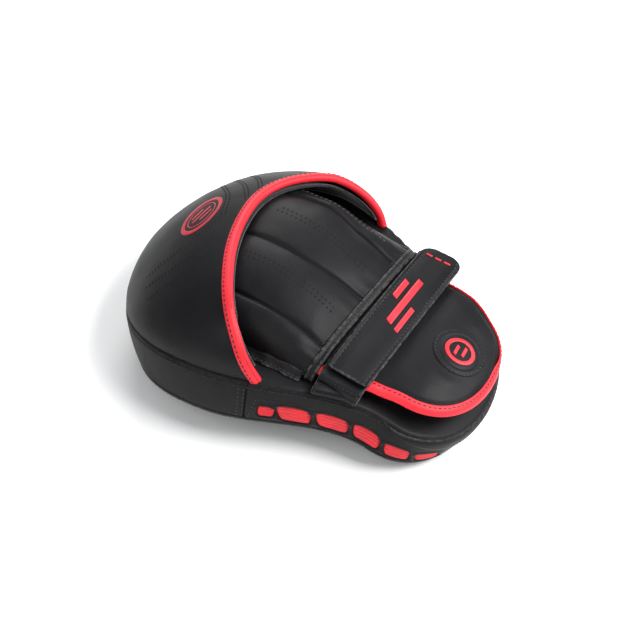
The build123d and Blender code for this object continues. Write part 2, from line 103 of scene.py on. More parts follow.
VENTS = (((-3.0, -13.0), (0.50, 0.80)), ((-15.0, -37.0), (0.42, 0.86)),
         ((-40.0, -63.0), (0.42, 0.86)), ((-66.0, -87.5), (0.42, 0.86)),
         ((-91.0, -108.0), (0.47, 0.86)), ((-111.5, -124.0), (0.55, 0.86)))
BAND_SEAM, HEEL_SEAM = 6.0, -80.0
HEEL_SEAM_DEPTHS, HEEL_FAR = (0.04, 0.62), -150.0
PALM_DOME, PALM_DOME_AT = (28.0, 22.0, 9.0), -14.0

TAPER_SIN = math.sin(FINGER_END / BEND_RADIUS)
_r1 = BEND_RADIUS - PAD_MIDDLE - PAD_TAPER
_r2 = BEND_RADIUS - PAD_MIDDLE + PAD_TAPER
_a1 = (FINGER_END + FLARE_FINGER) / BEND_RADIUS
_a2 = (-WRIST_END + FLARE_WRIST) / BEND_RADIUS
TILT = math.atan((_r1 * math.cos(_a1) - _r2 * math.cos(_a2))
                 / (_r1 * math.sin(_a1) + _r2 * math.sin(_a2)))


def soft_interp(stations, values, at):
    """Smooth curve through the values, without the kinks of straight runs."""
    order = np.argsort(stations)
    xs, ys = np.array(stations, float)[order], np.array(values, float)[order]
    slopes = np.gradient(ys, xs)
    at = np.clip(at, xs[0], xs[-1])
    i = np.clip(np.searchsorted(xs, at) - 1, 0, len(xs) - 2)
    h = xs[i + 1] - xs[i]
    t = (at - xs[i]) / h
    return ((2 * t**3 - 3 * t**2 + 1) * ys[i] + (t**3 - 2 * t**2 + t) * h * slopes[i]
            + (3 * t**2 - 2 * t**3) * ys[i + 1] + (t**3 - t**2) * h * slopes[i + 1])


def cuff_lift(x, s):
    edge = soft_interp(CUFF_STATIONS, CUFF_EDGES, s)
    crown = soft_interp(CUFF_STATIONS, CUFF_CROWNS, s)
    return edge + crown * (1 - np.minimum(np.abs(x) / CUFF_FLAT, 1.0) ** 2)


# the bend axis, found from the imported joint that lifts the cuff
joints = {j["name"]: j for j in frame["joints"]}
_angle = CUFF_HINGE / BEND_RADIUS + TILT
_radius = BEND_RADIUS + float(cuff_lift(0.0, CUFF_HINGE))
_from_axis = np.array([0, math.sin(_angle), math.cos(_angle)])
ORIGIN = np.array(joints["cuff_lift"]["pos_m"]) - MM * _radius * _from_axis


def together(*values):
    """The values as float arrays of one shape."""
    return np.broadcast_arrays(*(np.asarray(value, float) for value in values))


def bend(x, s, lift):
    """Row-frame points in metres."""
    x, s, lift = together(x, s, lift)
    angle = s / BEND_RADIUS + TILT
    radius = BEND_RADIUS + lift
    return np.stack([x, radius * np.sin(angle), radius * np.cos(angle)], -1) * MM + ORIGIN


def thickness(s):
    return PAD_MIDDLE + PAD_TAPER * np.sin(np.asarray(s) / BEND_RADIUS) / TAPER_SIN


def ease(t):
    t = np.clip(t, 0.0, 1.0)
    return t * t * (3 - 2 * t)


def round_off(u, v, power):
    """Points of the square from -1 to 1 moved onto a superellipse of half size 1."""
    big_u, big_v = u * np.sqrt(1 - v * v / 2), v * np.sqrt(1 - u * u / 2)
    r = np.hypot(big_u, big_v) + 1e-12
    reach = np.maximum(np.abs(big_u / r) ** power + np.abs(big_v / r) ** power, 1e-9)
    k = reach ** (-1 / power)
    return big_u * k, big_v * k


# ---- plan outlines ----
class Outline:
    """A plan outline with a superelliptical end at each side of a waisted middle."""

    def __init__(self, tip, shoulder, half, heel_shoulder, heel_half, heel, tip_power, heel_power):
        self.tip, self.shoulder, self.full = tip, shoulder, half
        self.heel_shoulder, self.heel_half, self.heel = heel_shoulder, heel_half, heel
        self.tip_power, self.heel_power = tip_power, heel_power
        t = np.linspace(0, math.pi / 2, 400)
        near_tip = np.stack([-half * np.sin(t) ** (2 / tip_power),
                             shoulder + (tip - shoulder) * np.cos(t) ** (2 / tip_power)], -1)
        u = np.linspace(0, 1, 200)[1:-1]
        middle = np.stack([-half + (half - heel_half) * ease(u),
                           shoulder + (heel_shoulder - shoulder) * u], -1)
        near_heel = np.stack([-heel_half * np.cos(t) ** (2 / heel_power),
                              heel_shoulder - (heel_shoulder - heel) * np.sin(t) ** (2 / heel_power)], -1)
        near = np.concatenate([near_tip, middle, near_heel])[::-1]      # wrist end to fingertips
        near[0, 0], near[-1, 0] = 0.0, 0.0
        far = near[::-1][1:-1] * [-1, 1]
        dense = np.concatenate([near, far, near[:1]])
        step = np.linalg.norm(np.diff(dense, axis=0), axis=1)
        run = np.concatenate([[0], np.cumsum(step)])
        self.length = run[-1]
        at = np.linspace(0, self.length, 1601)[:-1]
        self.loop = np.stack([np.interp(at, run, dense[:, k]) for k in (0, 1)], -1)
        ahead, behind = np.roll(self.loop, -4, 0), np.roll(self.loop, 4, 0)
        tangent = ahead - behind
        tangent /= np.linalg.norm(tangent, axis=1)[:, None]
        self.normals = np.stack([-tangent[:, 1], tangent[:, 0]], -1)
        self.at = at

    def half(self, s):
        s = np.asarray(s, float)
        tip = np.clip((s - self.shoulder) / (self.tip - self.shoulder), 0, 1)
        heel = np.clip((self.heel_shoulder - s) / (self.heel_shoulder - self.heel), 0, 1)
        u = ease((self.shoulder - s) / (self.shoulder - self.heel_shoulder))
        middle = self.full - (self.full - self.heel_half) * u
        end = np.where(tip > 0, (1 - tip ** self.tip_power) ** (1 / self.tip_power),
                       (1 - heel ** self.heel_power) ** (1 / self.heel_power))
        return middle * end

    def point(self, run, out=0.0):
        """Plan points at arc lengths run from the wrist end, along the near side first, moved out."""
        run = np.mod(run, self.length)
        period = self.length
        at = np.append(self.at, period)
        wrapped = np.vstack([self.loop, self.loop[:1]])
        normal = np.vstack([self.normals, self.normals[:1]])
        p = np.stack([np.interp(run, at, wrapped[:, k]) for k in (0, 1)], -1)
        n = np.stack([np.interp(run, at, normal[:, k]) for k in (0, 1)], -1)
        return p + n * np.asarray(out)[..., None]

    def run_at(self, s):
        """Arc length on the near side where the outline passes station s."""
        half = len(self.at) // 2 + 1
        return np.interp(s, self.loop[:half, 1], self.at[:half])

    def rim_distance(self, x, s):
        flat = np.stack([np.ravel(x), np.ravel(s)], -1)
        gap = np.linalg.norm(flat[:, None, :] - self.loop[None, ::2, :], axis=2).min(1)
        return gap.reshape(np.shape(x))

    def grid(self, across, end, middle):
        """Rows of plan points from the wrist end to the fingertips, with no pole."""
        u = np.linspace(-1, 1, across)
        rows_x, rows_s = [], []

        def end_row(v, half, length, power):
            a, b = round_off(u, v, power)
            return half * a, length * b
        for v in np.linspace(1, 0, end):
            x, ds = end_row(v, self.heel_half, self.heel_shoulder - self.heel, self.heel_power)
            rows_x.append(x)
            rows_s.append(self.heel_shoulder - ds)
        for s in np.linspace(self.heel_shoulder, self.shoulder, middle)[1:-1]:
            rows_x.append(u * float(self.half(s)))
            rows_s.append(np.full(across, s))
        for v in np.linspace(0, 1, end):
            x, ds = end_row(v, self.full, self.tip - self.shoulder, self.tip_power)
            rows_x.append(x)
            rows_s.append(self.shoulder + ds)
        return np.array(rows_x), np.array(rows_s)


pad = Outline(FINGER_END, FINGER_SHOULDER, FINGER_HALF, WRIST_SHOULDER, WRIST_HALF, WRIST_END,
              FINGER_POWER, WRIST_POWER)


# ---- mesh helpers ----
def quads(rows, cols, wrap=False):
    i, j = np.meshgrid(np.arange(rows - 1), np.arange(cols if wrap else cols - 1), indexing="ij")
    k = (j + 1) % cols
    corners = [i * cols + j, i * cols + k, (i + 1) * cols + k, (i + 1) * cols + j]
    return np.stack(corners, -1).reshape(-1, 4)


def tube_faces(rows, cols, caps=(True, True)):
    """Faces of a tube of rings, with a cap on its first and last ring where asked."""
    faces = [list(q) for q in quads(rows, cols, wrap=True)]
    if caps[0]:
        faces.append(list(range(cols))[::-1])
    if caps[1]:
        faces.append(list(range((rows - 1) * cols, rows * cols)))
    return faces


def lifted(points, normals, height):
    """Points moved along their normals by a height in mm."""
    return points + normals * (np.asarray(height) * MM)[..., None]


def make(name, verts, faces, material, body=None, worn=None):
    """A mesh object whose faces point outwards."""
    mesh = bpy.data.meshes.new(name)
    points = np.asarray(verts, float).reshape(-1, 3).tolist()
    mesh.from_pydata(points, [], [list(map(int, f)) for f in faces])
    mesh.validate()
    rest = mesh.attributes.new("rest", "FLOAT_VECTOR", "POINT")
    co = np.zeros(len(mesh.vertices) * 3, np.float32)
    mesh.vertices.foreach_get("co", co)
    rest.data.foreach_set("vector", co)
    wear = mesh.attributes.new("worn", "FLOAT", "POINT")
    if worn is not None:
        wear.data.foreach_set("value", np.ravel(worn).astype(np.float32)[:len(mesh.vertices)])
    bm = bmesh.new()
    bm.from_mesh(mesh)
    bmesh.ops.recalc_face_normals(bm, faces=bm.faces)
    bm.to_mesh(mesh)
    bm.free()
    mesh.polygons.foreach_set("use_smooth", [True] * len(mesh.polygons))
    mesh.materials.append(material)
    obj = bpy.data.objects.new(name, mesh)
    bpy.context.scene.collection.objects.link(obj)
    if body:
        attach(obj, body)
    return obj


def shell(name, top, bottom, material, body=None, worn=None):
    """Closed piece between two grids of points, joined round their edges."""
    rows, cols = top.shape[:2]
    f = quads(rows, cols)
    n = rows * cols
    faces = [f, f[:, ::-1] + n]
    idx = np.arange(n).reshape(rows, cols)
    rim = np.concatenate([idx[0, :-1], idx[:-1, -1], idx[-1, :0:-1], idx[:0:-1, 0]])
    nxt = np.roll(rim, -1)
    faces.append(np.stack([rim, rim + n, nxt + n, nxt], -1))
    both = np.concatenate([top.reshape(-1, 3), bottom.reshape(-1, 3)])
    w = None if worn is None else np.concatenate([np.ravel(worn), np.zeros(n)])
    return make(name, both, np.concatenate(faces), material, body, w)


def sweep(name, centre, across, up, section, material, body=None, worn=None):
    """Closed tube whose section, (a, b) in mm along across and up, follows centre."""
    section = np.asarray(section, float)
    ring = (centre[:, None, :] + across[:, None, :] * section[None, :, :1] * MM
            + up[:, None, :] * section[None, :, 1:] * MM)
    rows, cols = ring.shape[:2]
    w = None if worn is None else np.tile(worn, rows)
    return make(name, ring.reshape(-1, 3), tube_faces(rows, cols), material, body, w)


def dress(piece, slot, *nodes, fill=None):
    """Hides the CAD nodes the piece stands for. Not used: the material slot, and on a padded piece how full
    it is.
    """
    if nodes:
        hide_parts(*nodes)


def unit(v):
    return v / (np.linalg.norm(v, axis=-1, keepdims=True) + 1e-12)


def frame_on(surface, a, b, da=0.4, db=0.4):
    """Points of surface(a, b), its two directions and its outward normal."""
    p = surface(a, b)
    ta = unit(surface(a + da, b) - surface(a - da, b))
    tb = unit(surface(a, b + db) - surface(a, b - db))
    n = unit(np.cross(ta, tb))
    inwards = (n * (p - ORIGIN)).sum(-1, keepdims=True) < 0
    n = np.where(inwards, -n, n)
    return p, ta, tb, n


def smooth_path(points, count=400):
    """Catmull-Rom path through points of any dimension."""
    pts = np.asarray(points, float)
    pts = np.vstack([2 * pts[0] - pts[1], pts, 2 * pts[-1] - pts[-2]])
    t = np.linspace(0, len(pts) - 3 - 1e-9, count)
    i = t.astype(int)
    u = (t - i)[:, None]
    p0, p1, p2, p3 = pts[i], pts[i + 1], pts[i + 2], pts[i + 3]
    return 0.5 * (2 * p1 + (p2 - p0) * u + (2 * p0 - 5 * p1 + 4 * p2 - p3) * u**2
                  + (3 * p1 - p0 - 3 * p2 + p3) * u**3)


def resample(points, spacing, *others):
    """Evenly spaced points (spacing in mm) along a row-frame path, and its other arrays with it."""
    step = np.linalg.norm(np.diff(points, axis=0), axis=1)
    run = np.concatenate([[0], np.cumsum(step)])
    count = max(int(round(run[-1] / (spacing * MM))), 1)
    at = (np.arange(count) + 0.5) * run[-1] / count
    return [np.stack([np.interp(at, run, column) for column in a.T], -1) for a in (points,) + others]


def stamp(name, centres, along, normals, template, faces, material, body=None):
    """One mesh of many copies of a template given in (along, side, normal) mm."""
    along = unit(along - normals * (along * normals).sum(-1, keepdims=True))
    side = np.cross(normals, along)
    t = np.asarray(template, float) * MM
    verts = (centres[:, None, :] + along[:, None, :] * t[None, :, :1]
             + side[:, None, :] * t[None, :, 1:2] + normals[:, None, :] * t[None, :, 2:])
    n = len(t)
    all_faces = [[v + k * n for v in f] for k in range(len(centres)) for f in faces]
    return make(name, verts.reshape(-1, 3), all_faces, material, body)


def stitch_template(length, width, height):
    """A short thread, thick in the middle, whose ends dip into the leather."""
    verts, sides, rings = [], 6, (-1.0, -0.8, -0.3, 0.3, 0.8, 1.0)
    for r in rings:
        size = math.sqrt(max(1 - r * r * 0.92, 0.02))
        for k in range(sides):
            angle = 2 * math.pi * k / sides
            verts.append((r * length / 2, math.cos(angle) * width / 2 * size,
                          math.sin(angle) * height * size - 0.35 * height * r * r))
    return verts, tube_faces(len(rings), sides)


def hole_template(radius):
    """A punched hole: a dished disc with a soft raised lip; its dark colour is painted shade standing in for
    the hollow of the hole.
    """
    verts, sides = [], 12
    rings = ((1.35, -0.12), (1.12, 0.07), (0.86, 0.03), (0.5, -0.02))
    for r, h in rings:
        for k in range(sides):
            angle = 2 * math.pi * k / sides
            verts.append((r * radius * math.cos(angle), r * radius * math.sin(angle), h + 0.05))
    return verts, tube_faces(len(rings), sides)


def sew(name, points, normals, body=None, thread=None, pitch=3.2, length=2.3, width=0.62, height=0.34):
    """Stitches along a row-frame path."""
    p, n = resample(points, pitch, normals)
    verts, faces = stitch_template(length, width, height)
    return stamp(name, p, np.gradient(p, axis=0), unit(n), verts, faces, thread or black_thread, body)


def punch(name, points, normals, radius, pitch, material):
    """A row of punched holes along a row-frame path."""
    p, n = resample(points, pitch, normals)
    verts, faces = hole_template(radius)
    return stamp(name, p, np.tile([1.0, 0, 0], (len(p), 1)), unit(n), verts, faces, material, "root")


def lumps(points, size, depth, seed=0.0):
    """Gentle unevenness in mm, the same at each run."""
    flat = points.reshape(-1, 3) / MM / size
    values = [noise.noise((p[0] + seed, p[1], p[2])) for p in flat]
    return np.array(values).reshape(points.shape[:-1]) * depth


# ---- materials ----
def tree(name):
    m = bpy.data.materials.new(name)
    m.use_nodes = True
    m.node_tree.nodes.clear()
    out = m.node_tree.nodes.new("ShaderNodeOutputMaterial")
    bsdf = m.node_tree.nodes.new("ShaderNodeBsdfPrincipled")
    m.node_tree.links.new(bsdf.outputs[0], out.inputs[0])
    return m, m.node_tree, bsdf


def add(t, kind, inputs=None, **props):
    n = t.nodes.new("ShaderNode" + kind)
    for key, value in props.items():
        setattr(n, key, value)
    for key, value in (inputs or {}).items():
        if isinstance(value, bpy.types.NodeSocket):
            t.links.new(value, n.inputs[key])
        else:
            n.inputs[key].default_value = value
    return n


def tint(colour, factor):
    """The colour made lighter or darker, with an alpha of 1."""
    return tuple(min(c * factor, 1) for c in colour) + (1,)


def blend_colours(t, factor, first, second):
    return add(t, "Mix", {"Factor": factor, 6: first, 7: second}, data_type="RGBA").outputs[2]


def cloudy(t, at, scale, detail, **more):
    """Noise at a scale; more holds its other inputs."""
    return add(t, "TexNoise", {"Vector": at, "Scale": scale, "Detail": detail, **more}).outputs[0]


def rest_place(t):
    return add(t, "Attribute", attribute_name="rest").outputs["Vector"]


def ramp(t, value, low, high, to_low=0.0, to_high=1.0):
    return add(t, "MapRange", {"Value": value, "From Min": low, "From Max": high,
                               "To Min": to_low, "To Max": to_high}).outputs[0]


def leather(name, colour, roughness=0.46, grain=1150.0, grain_depth=0.00007, wear=(0.11, 0.105, 0.105),
            specular=0.13, creases=0.00022):
    """Fine-grained synthetic leather with slight mottling, creases and rubbed edges."""
    m, t, b = tree(name)
    at = rest_place(t)
    cloud = cloudy(t, at, 22.0, 4.0, Roughness=0.6)
    fine = cloudy(t, at, 420.0, 3.0, Roughness=0.6)
    cells = add(t, "TexVoronoi", {"Vector": at, "Scale": grain}, feature="SMOOTH_F1").outputs[0]
    crease = cloudy(t, at, 95.0, 5.0, Roughness=0.55, Distortion=0.6)
    base = blend_colours(t, ramp(t, cloud, 0.3, 0.7), tint(colour, 0.78), tint(colour, 1.28))
    speck = ramp(t, fine, 0.35, 0.75, 0.0, 0.22)
    base = blend_colours(t, speck, base, tint(colour, 0.55))
    worn = add(t, "Attribute", attribute_name="worn").outputs["Fac"]
    patchy = add(t, "Math", {0: worn, 1: ramp(t, fine, 0.4, 0.62)}, operation="MULTIPLY").outputs[0]
    base = blend_colours(t, patchy, base, wear + (1,))
    t.links.new(base, b.inputs["Base Color"])
    t.links.new(ramp(t, cloud, 0.25, 0.75, roughness - 0.06, roughness + 0.07), b.inputs["Roughness"])
    b.inputs["Specular IOR Level"].default_value = specular
    bump = add(t, "Bump", {"Height": crease, "Strength": 0.5, "Distance": creases})
    bump2 = add(t, "Bump", {"Height": cells, "Strength": 0.7, "Distance": grain_depth,
                            "Normal": bump.outputs[0]})
    bump3 = add(t, "Bump", {"Height": fine, "Strength": 0.5, "Distance": 0.00006,
                            "Normal": bump2.outputs[0]})
    t.links.new(bump3.outputs[0], b.inputs["Normal"])
    return m


def rubber(name, colour, roughness=0.5):
    m, t, b = tree(name)
    at = rest_place(t)
    cloud = cloudy(t, at, 60.0, 3.0)
    fine = cloudy(t, at, 1500.0, 2.0)
    base = blend_colours(t, ramp(t, cloud, 0.3, 0.7), tint(colour, 0.82), tint(colour, 1.1))
    t.links.new(base, b.inputs["Base Color"])
    t.links.new(ramp(t, cloud, 0.3, 0.7, roughness - 0.05, roughness + 0.08), b.inputs["Roughness"])
    b.inputs["Specular IOR Level"].default_value = 0.35
    bump = add(t, "Bump", {"Height": fine, "Strength": 0.5, "Distance": 0.00008})
    t.links.new(bump.outputs[0], b.inputs["Normal"])
    return m


def fabric(name, colour, pitch=1100.0, depth=0.00025, roughness=0.85):
    """Knit or woven cloth: two crossed sets of yarns."""
    m, t, b = tree(name)
    at = rest_place(t)
    yarn = {"Vector": at, "Scale": pitch / 6.28, "Distortion": 0.6, "Detail": 1.0, "Detail Scale": 2.0}
    warp, weft = (add(t, "TexWave", yarn, wave_type="BANDS", bands_direction=way).outputs[0] for way in "XY")
    weave = add(t, "Math", {0: warp, 1: weft}, operation="MULTIPLY").outputs[0]
    cloud = cloudy(t, at, 130.0, 4.0)
    tone = add(t, "Math", {0: weave, 1: cloud}, operation="MULTIPLY").outputs[0]
    base = blend_colours(t, ramp(t, tone, 0.0, 0.5), tint(colour, 0.5), tint(colour, 1.5))
    t.links.new(base, b.inputs["Base Color"])
    t.links.new(ramp(t, weave, 0.0, 1.0, roughness, roughness - 0.12), b.inputs["Roughness"])
    b.inputs["Specular IOR Level"].default_value = 0.2
    b.inputs["Sheen Weight"].default_value = 0.25
    bump = add(t, "Bump", {"Height": weave, "Strength": 0.8, "Distance": depth})
    t.links.new(bump.outputs[0], b.inputs["Normal"])
    return m


BLACK = (0.0060, 0.0061, 0.0070)
RED = (0.76, 0.020, 0.033)
black_leather = leather("black_leather", BLACK)
wall_leather = leather("band_leather", (0.0068, 0.0066, 0.0064), roughness=0.5)
strike_leather = leather("strike_leather", (0.0095, 0.0095, 0.0105), roughness=0.36, grain=900.0,
                         grain_depth=0.00010)
red_leather = leather("red_binding", RED, roughness=0.5, grain=1400.0, grain_depth=0.00005,
                      wear=(0.42, 0.02, 0.03), specular=0.25, creases=0.00015)
red_rubber = rubber("red_rubber", (0.66, 0.018, 0.028))
red_print = rubber("red_print", (0.62, 0.016, 0.030), roughness=0.42)
emblem_print = rubber("emblem_print", (0.36, 0.012, 0.026), roughness=0.42)
lining = fabric("lining_fabric", (0.022, 0.022, 0.024))
webbing = fabric("hook_and_loop", (0.016, 0.016, 0.018), pitch=2200.0, depth=0.0005, roughness=0.95)
THREAD = {"pitch": 6000.0, "depth": 0.00008}
black_thread = fabric("black_thread", (0.0022, 0.0022, 0.0025), roughness=0.7, **THREAD)
grey_thread = fabric("dark_grey_thread", (0.030, 0.030, 0.032), roughness=0.6, **THREAD)
# near-black punched holes: painted shade standing in for the hollow inside each hole
hole_painted_shade = rubber("punched_hole_painted_shade", (0.0018, 0.0018, 0.002), roughness=0.9)


def grid_normals(p):
    """Unit normals of a grid of points, away from the bend axis."""
    du, dv = np.gradient(p, axis=0), np.gradient(p, axis=1)
    n = np.cross(du, dv)
    small = np.linalg.norm(n, axis=-1, keepdims=True) < 1e-15
    n = np.where(small, [0, 0, 1.0], unit(n))
    middle = n[n.shape[0] // 2, n.shape[1] // 2]
    out = p[p.shape[0] // 2, p.shape[1] // 2] - ORIGIN
    out[0] = 0
    return n if middle @ out > 0 else -n


def arch(half, crown, power, phi, s):
    """A point of an arched surface; phi runs from the near foot to the far foot."""
    c, u = np.cos(phi), np.maximum(np.sin(phi), 0.0)
    x = -np.sign(c) * half * np.abs(c) ** (2 / power)
    return bend(x, s, 0.3 + crown * u ** (2 / power))


def arch_phi(x, half, power):
    share = np.clip(np.abs(x) / np.maximum(half, 1e-6), 0, 1) ** (power / 2)
    angle = np.arccos(share)
    return np.where(np.asarray(x) < 0, angle, math.pi - angle)


# ---- pad: back, wall and strike face ----
ROLL = 2.2
back_x, back_s = pad.grid(71, 22, 52)
back_d = pad.rim_distance(back_x, back_s)
roll = ROLL * (1 - np.sqrt(np.clip(1 - (1 - np.clip(back_d / ROLL, 0, 1)) ** 2, 0, 1)))
back_top = bend(back_x, back_s, -roll)
back_top[..., 2] += lumps(back_top, 34.0, 0.25) * MM * ease(back_d / 8)
back = shell("pad_back_panel", back_top, bend(back_x, back_s, -ROLL - 0.15), black_leather, "root",
             worn=np.clip(1 - back_d / 1.6, 0, 1) * 0.1)
dress(back, "black_leather", "back_panel", "rear_foam", "gel_sheet")

FACE_ROUND = 5.0
face_x, face_s = pad.grid(121, 34, 92)
face_d = pad.rim_distance(face_x, face_s)
flare = np.interp(face_s, (WRIST_END, FINGER_END), (FLARE_WRIST, FLARE_FINGER))
near_rim = 1 - np.clip(face_d / 40.0, 0, 1)
centre_s = np.clip(face_s, WRIST_SHOULDER, FINGER_SHOULDER)
direction = unit(np.stack([face_x, face_s - centre_s], -1))
moved_x = face_x + direction[..., 0] * flare * near_rim
moved_s = face_s + direction[..., 1] * flare * near_rim
edge_round = 1.3 * (1 - np.sqrt(np.clip(1 - (1 - np.clip(face_d / FACE_ROUND, 0, 1)) ** 2, 0, 1)))
TARGET_AT, TARGET_RADIUS = 22.0, 44.0
target = np.hypot(moved_x, moved_s - TARGET_AT)
grooves = (1.3 * np.exp(-((target - TARGET_RADIUS) / 1.5) ** 2)
           + 1.0 * np.exp(-((face_d - 15.0) / 1.4) ** 2))
swell = 1.4 * ease(face_d / 15.0) + 1.2 * (1 - ease(target / TARGET_RADIUS)) + 1.0
face_low = bend(moved_x, moved_s, -thickness(moved_s) + edge_round + grooves - swell * 0.8)
face_high = bend(moved_x, moved_s, -thickness(moved_s) * FACE_DEPTH + 0.1)
face = shell("strike_face", face_low, face_high, strike_leather, "root",
             worn=np.clip(1 - face_d / 3.0, 0, 1) * 0.5 + 0.16 * (1 - ease(target / 40)))
dress(face, "strike_leather", "strike_face_cover", "front_foam", fill=0.9)


def face_surface(x, s):
    d = pad.rim_distance(np.asarray(x, float), np.asarray(s, float))
    t = np.hypot(x, np.asarray(s) - TARGET_AT)
    sw = 1.4 * ease(d / 15.0) + 1.2 * (1 - ease(t / TARGET_RADIUS)) + 1.0
    return bend(x, s, -thickness(s) - sw * 0.8)


def wall_shape(run, f):
    """How far the sewn wall bulges at depth fraction f."""
    t = np.clip((f - BACK_DEPTH) / (FACE_DEPTH - BACK_DEPTH), 0, 1)
    return 1.5 * np.clip(1 - (2 * t - 1) ** 2, 0, 1) ** 0.55 - 0.25


def wall(run, f, out=0.0):
    """A point on the wall, out mm beyond its plain flared surface; the far side has run beyond half."""
    run, f, out = together(run, f, out)
    plan = pad.point(run)
    flare_here = np.interp(plan[..., 1], (WRIST_END, FINGER_END), (FLARE_WRIST, FLARE_FINGER)) * f
    plan = pad.point(run, flare_here + out)
    return bend(plan[..., 0], plan[..., 1], -thickness(plan[..., 1]) * f)


def wall_normals(run, f):
    return unit(wall(run, f, 1.0) - wall(run, f, 0.0))


def side_run(run, side):
    return run if side < 0 else pad.length - run


def vent_frame(number):
    """Middle and half sizes of a vent on the wall: run, height below the back, both in mm."""
    (s0, s1), (top, bottom) = VENTS[number]
    run0, run1 = pad.run_at(s0), pad.run_at(s1)
    middle = (run0 + run1) / 2
    high = float(thickness((s0 + s1) / 2))
    return middle, abs(run0 - run1) / 2, (top + bottom) / 2 * high, (bottom - top) / 2 * high


VENT_POWER, VENT_REACH, VENT_SLANT = 2.8, 1.0, 0.2


def vent_place(number, run, drop):
    """Offset from a vent's middle as shares of its leaf shape, which leans towards the wrist."""
    mid, half_along, down, half_down = vent_frame(number)
    b = (drop - down) / half_down
    a = (run - mid) / (half_along + VENT_REACH) + (0.0 if number == 0 else VENT_SLANT * b)
    return a, b


def vent_sink(run, f, s):
    """Recess of the wall leather at the vents, with a rolled lip round each."""
    out = np.zeros(np.shape(run))
    depth_mm = f * thickness(s)
    for number in range(len(VENTS)):
        a, b = vent_place(number, run, depth_mm)
        r = (np.abs(a) ** VENT_POWER + np.abs(b) ** VENT_POWER) ** (1 / VENT_POWER)
        gap = (r - 1.0) * vent_frame(number)[3]
        out += -2.6 * ease(-(gap - 0.2) / 1.3) + 0.6 * np.exp(-((gap - 1.0) / 0.8) ** 2)
    return out


seam_run = float(pad.run_at(BAND_SEAM))


def band(name, node, start, stop, side, rows=34, step=1.25, vents=True):
    cols = int(abs(stop - start) / step)
    run = np.linspace(start, stop, cols)[:, None]
    f = np.linspace(BACK_DEPTH, FACE_DEPTH, rows)[None, :]
    run, f = np.broadcast_arrays(run, f)
    s = pad.point(run)[..., 1]
    out = wall_shape(run, f)
    if vents:
        out = out + vent_sink(run, f, s)
    ends = np.minimum(np.abs(run - start), np.abs(run - stop))
    joined = 1.0 - ease(ends / 2.0)
    out = out - 0.9 * joined * (ends < 2.0)
    real = side_run(run, side)
    outer = wall(real, f, out)
    outer = lifted(outer, wall_normals(real, f), lumps(outer, 17.0, 0.22))
    inner = wall(real, f, -3.6)
    piece = shell(name, outer, inner, wall_leather, "root",
                  worn=np.clip(1 - np.minimum(f - BACK_DEPTH, FACE_DEPTH - f) / 0.05, 0, 1) * 0.08)
    dress(piece, "black_leather", node)
    return piece


band("fingertip_band", "fingertip_side_band", seam_run, pad.length - seam_run, -1, vents=False)
for side, label in ((-1, "near"), (1, "far")):
    band(f"{label}_band", f"{label}_side_band", 0.0 if side < 0 else 0.02, seam_run, side)


def heel_depth(s):
    low, high = HEEL_SEAM_DEPTHS
    return low + (high - low) * (HEEL_SEAM - s) / (HEEL_SEAM - HEEL_FAR)


heel_run = float(pad.run_at(HEEL_SEAM))
run = np.linspace(-heel_run, heel_run, 150)[:, None]
t = np.linspace(0, 1, 20)[None, :]
s = pad.point(run)[..., 1] + 0 * t
low_edge = np.clip(heel_depth(s), BACK_DEPTH + 0.02, 1)
f = BACK_DEPTH + (low_edge - BACK_DEPTH) * t
run, f = np.broadcast_arrays(run, f)
pillow = np.clip(1 - (2 * t - 1) ** 4, 0, 1) * ease((heel_run - np.abs(run)) / 10.0)
out = wall_shape(run, f) + 0.15 + 1.5 * pillow
outer = wall(run, f, out)
outer = lifted(outer, wall_normals(run, f), lumps(outer, 15.0, 0.28, 5.0))
heel = shell("heel_band_cover", outer, wall(run, f, -0.6), wall_leather, "root",
             worn=np.clip(np.abs(2 * t - 1) - 0.85, 0, 1) * 2.5 + 0 * run)
dress(heel, "black_leather", "heel_band")

for side, label in ((-1, "near"), (1, "far")):
    for number in range(len(VENTS)):
        mid, half_along, down, half_down = vent_frame(number)
        u, v = np.meshgrid(np.linspace(-1, 1, 45), np.linspace(-1, 1, 31), indexing="ij")
        a, b = round_off(u, v, VENT_POWER)
        q = np.maximum(np.abs(u), np.abs(v))
        slant = 0.0 if number == 0 else VENT_SLANT
        run = mid + (half_along + VENT_REACH) * (a - slant * b)
        drop = down + (half_down + 0.2) * b
        s = pad.point(run)[..., 1]
        f = drop / thickness(s)
        ribs = 0.30 * np.cos(2 * math.pi * b * 2.5) * ease((1 - q) / 0.3)
        out = wall_shape(run, f) - 2.3 + 2.1 * ease((1 - q) / 0.26) ** 0.7 + ribs
        real = side_run(run, side)
        piece = shell(f"{label}_vent_rib_{number + 1}", wall(real, f, out), wall(real, f, -4.0), red_rubber,
                      "root")
        dress(piece, "red_rubber", f"{label}_vent_{number + 1}")


# ---- hood ----
def hood_size(s):
    fall = np.clip((np.asarray(s, float) - HOOD_CREST) / (FINGER_END - HOOD_CREST), 0.0, 1.0)
    crown = HOOD_HEIGHT * (1 - fall ** HOOD_FALL[0]) ** (1 / HOOD_FALL[1])
    power = HOOD_SECTION[0] + (HOOD_SECTION[1] - HOOD_SECTION[0]) * fall
    return np.maximum(pad.half(s) - HOOD_INSET, 0.0), crown, power


def hood(phi, s):
    half, crown, power = hood_size(s)
    return arch(half, crown, power, phi, s)


def hood_at(x, s):
    half, crown, power = hood_size(s)
    return arch(half, crown, power, arch_phi(x, half, power), s)


# the bound edge as the photo shows it: degrees round the hood from the near foot, and s there
MOUTH_LINE = ((0.0, -1.0), (8.0, 4.5), (30.0, 17.2), (60.0, 37.2), (80.0, 49.0), (94.0, 54.5),
              (106.0, 55.6), (118.0, 51.2), (132.0, 38.0), (150.0, 17.4), (168.0, -2.5), (180.0, -11.0))


def mouth(phi):
    return soft_interp([k[0] for k in MOUTH_LINE], [k[1] for k in MOUTH_LINE], np.degrees(phi))


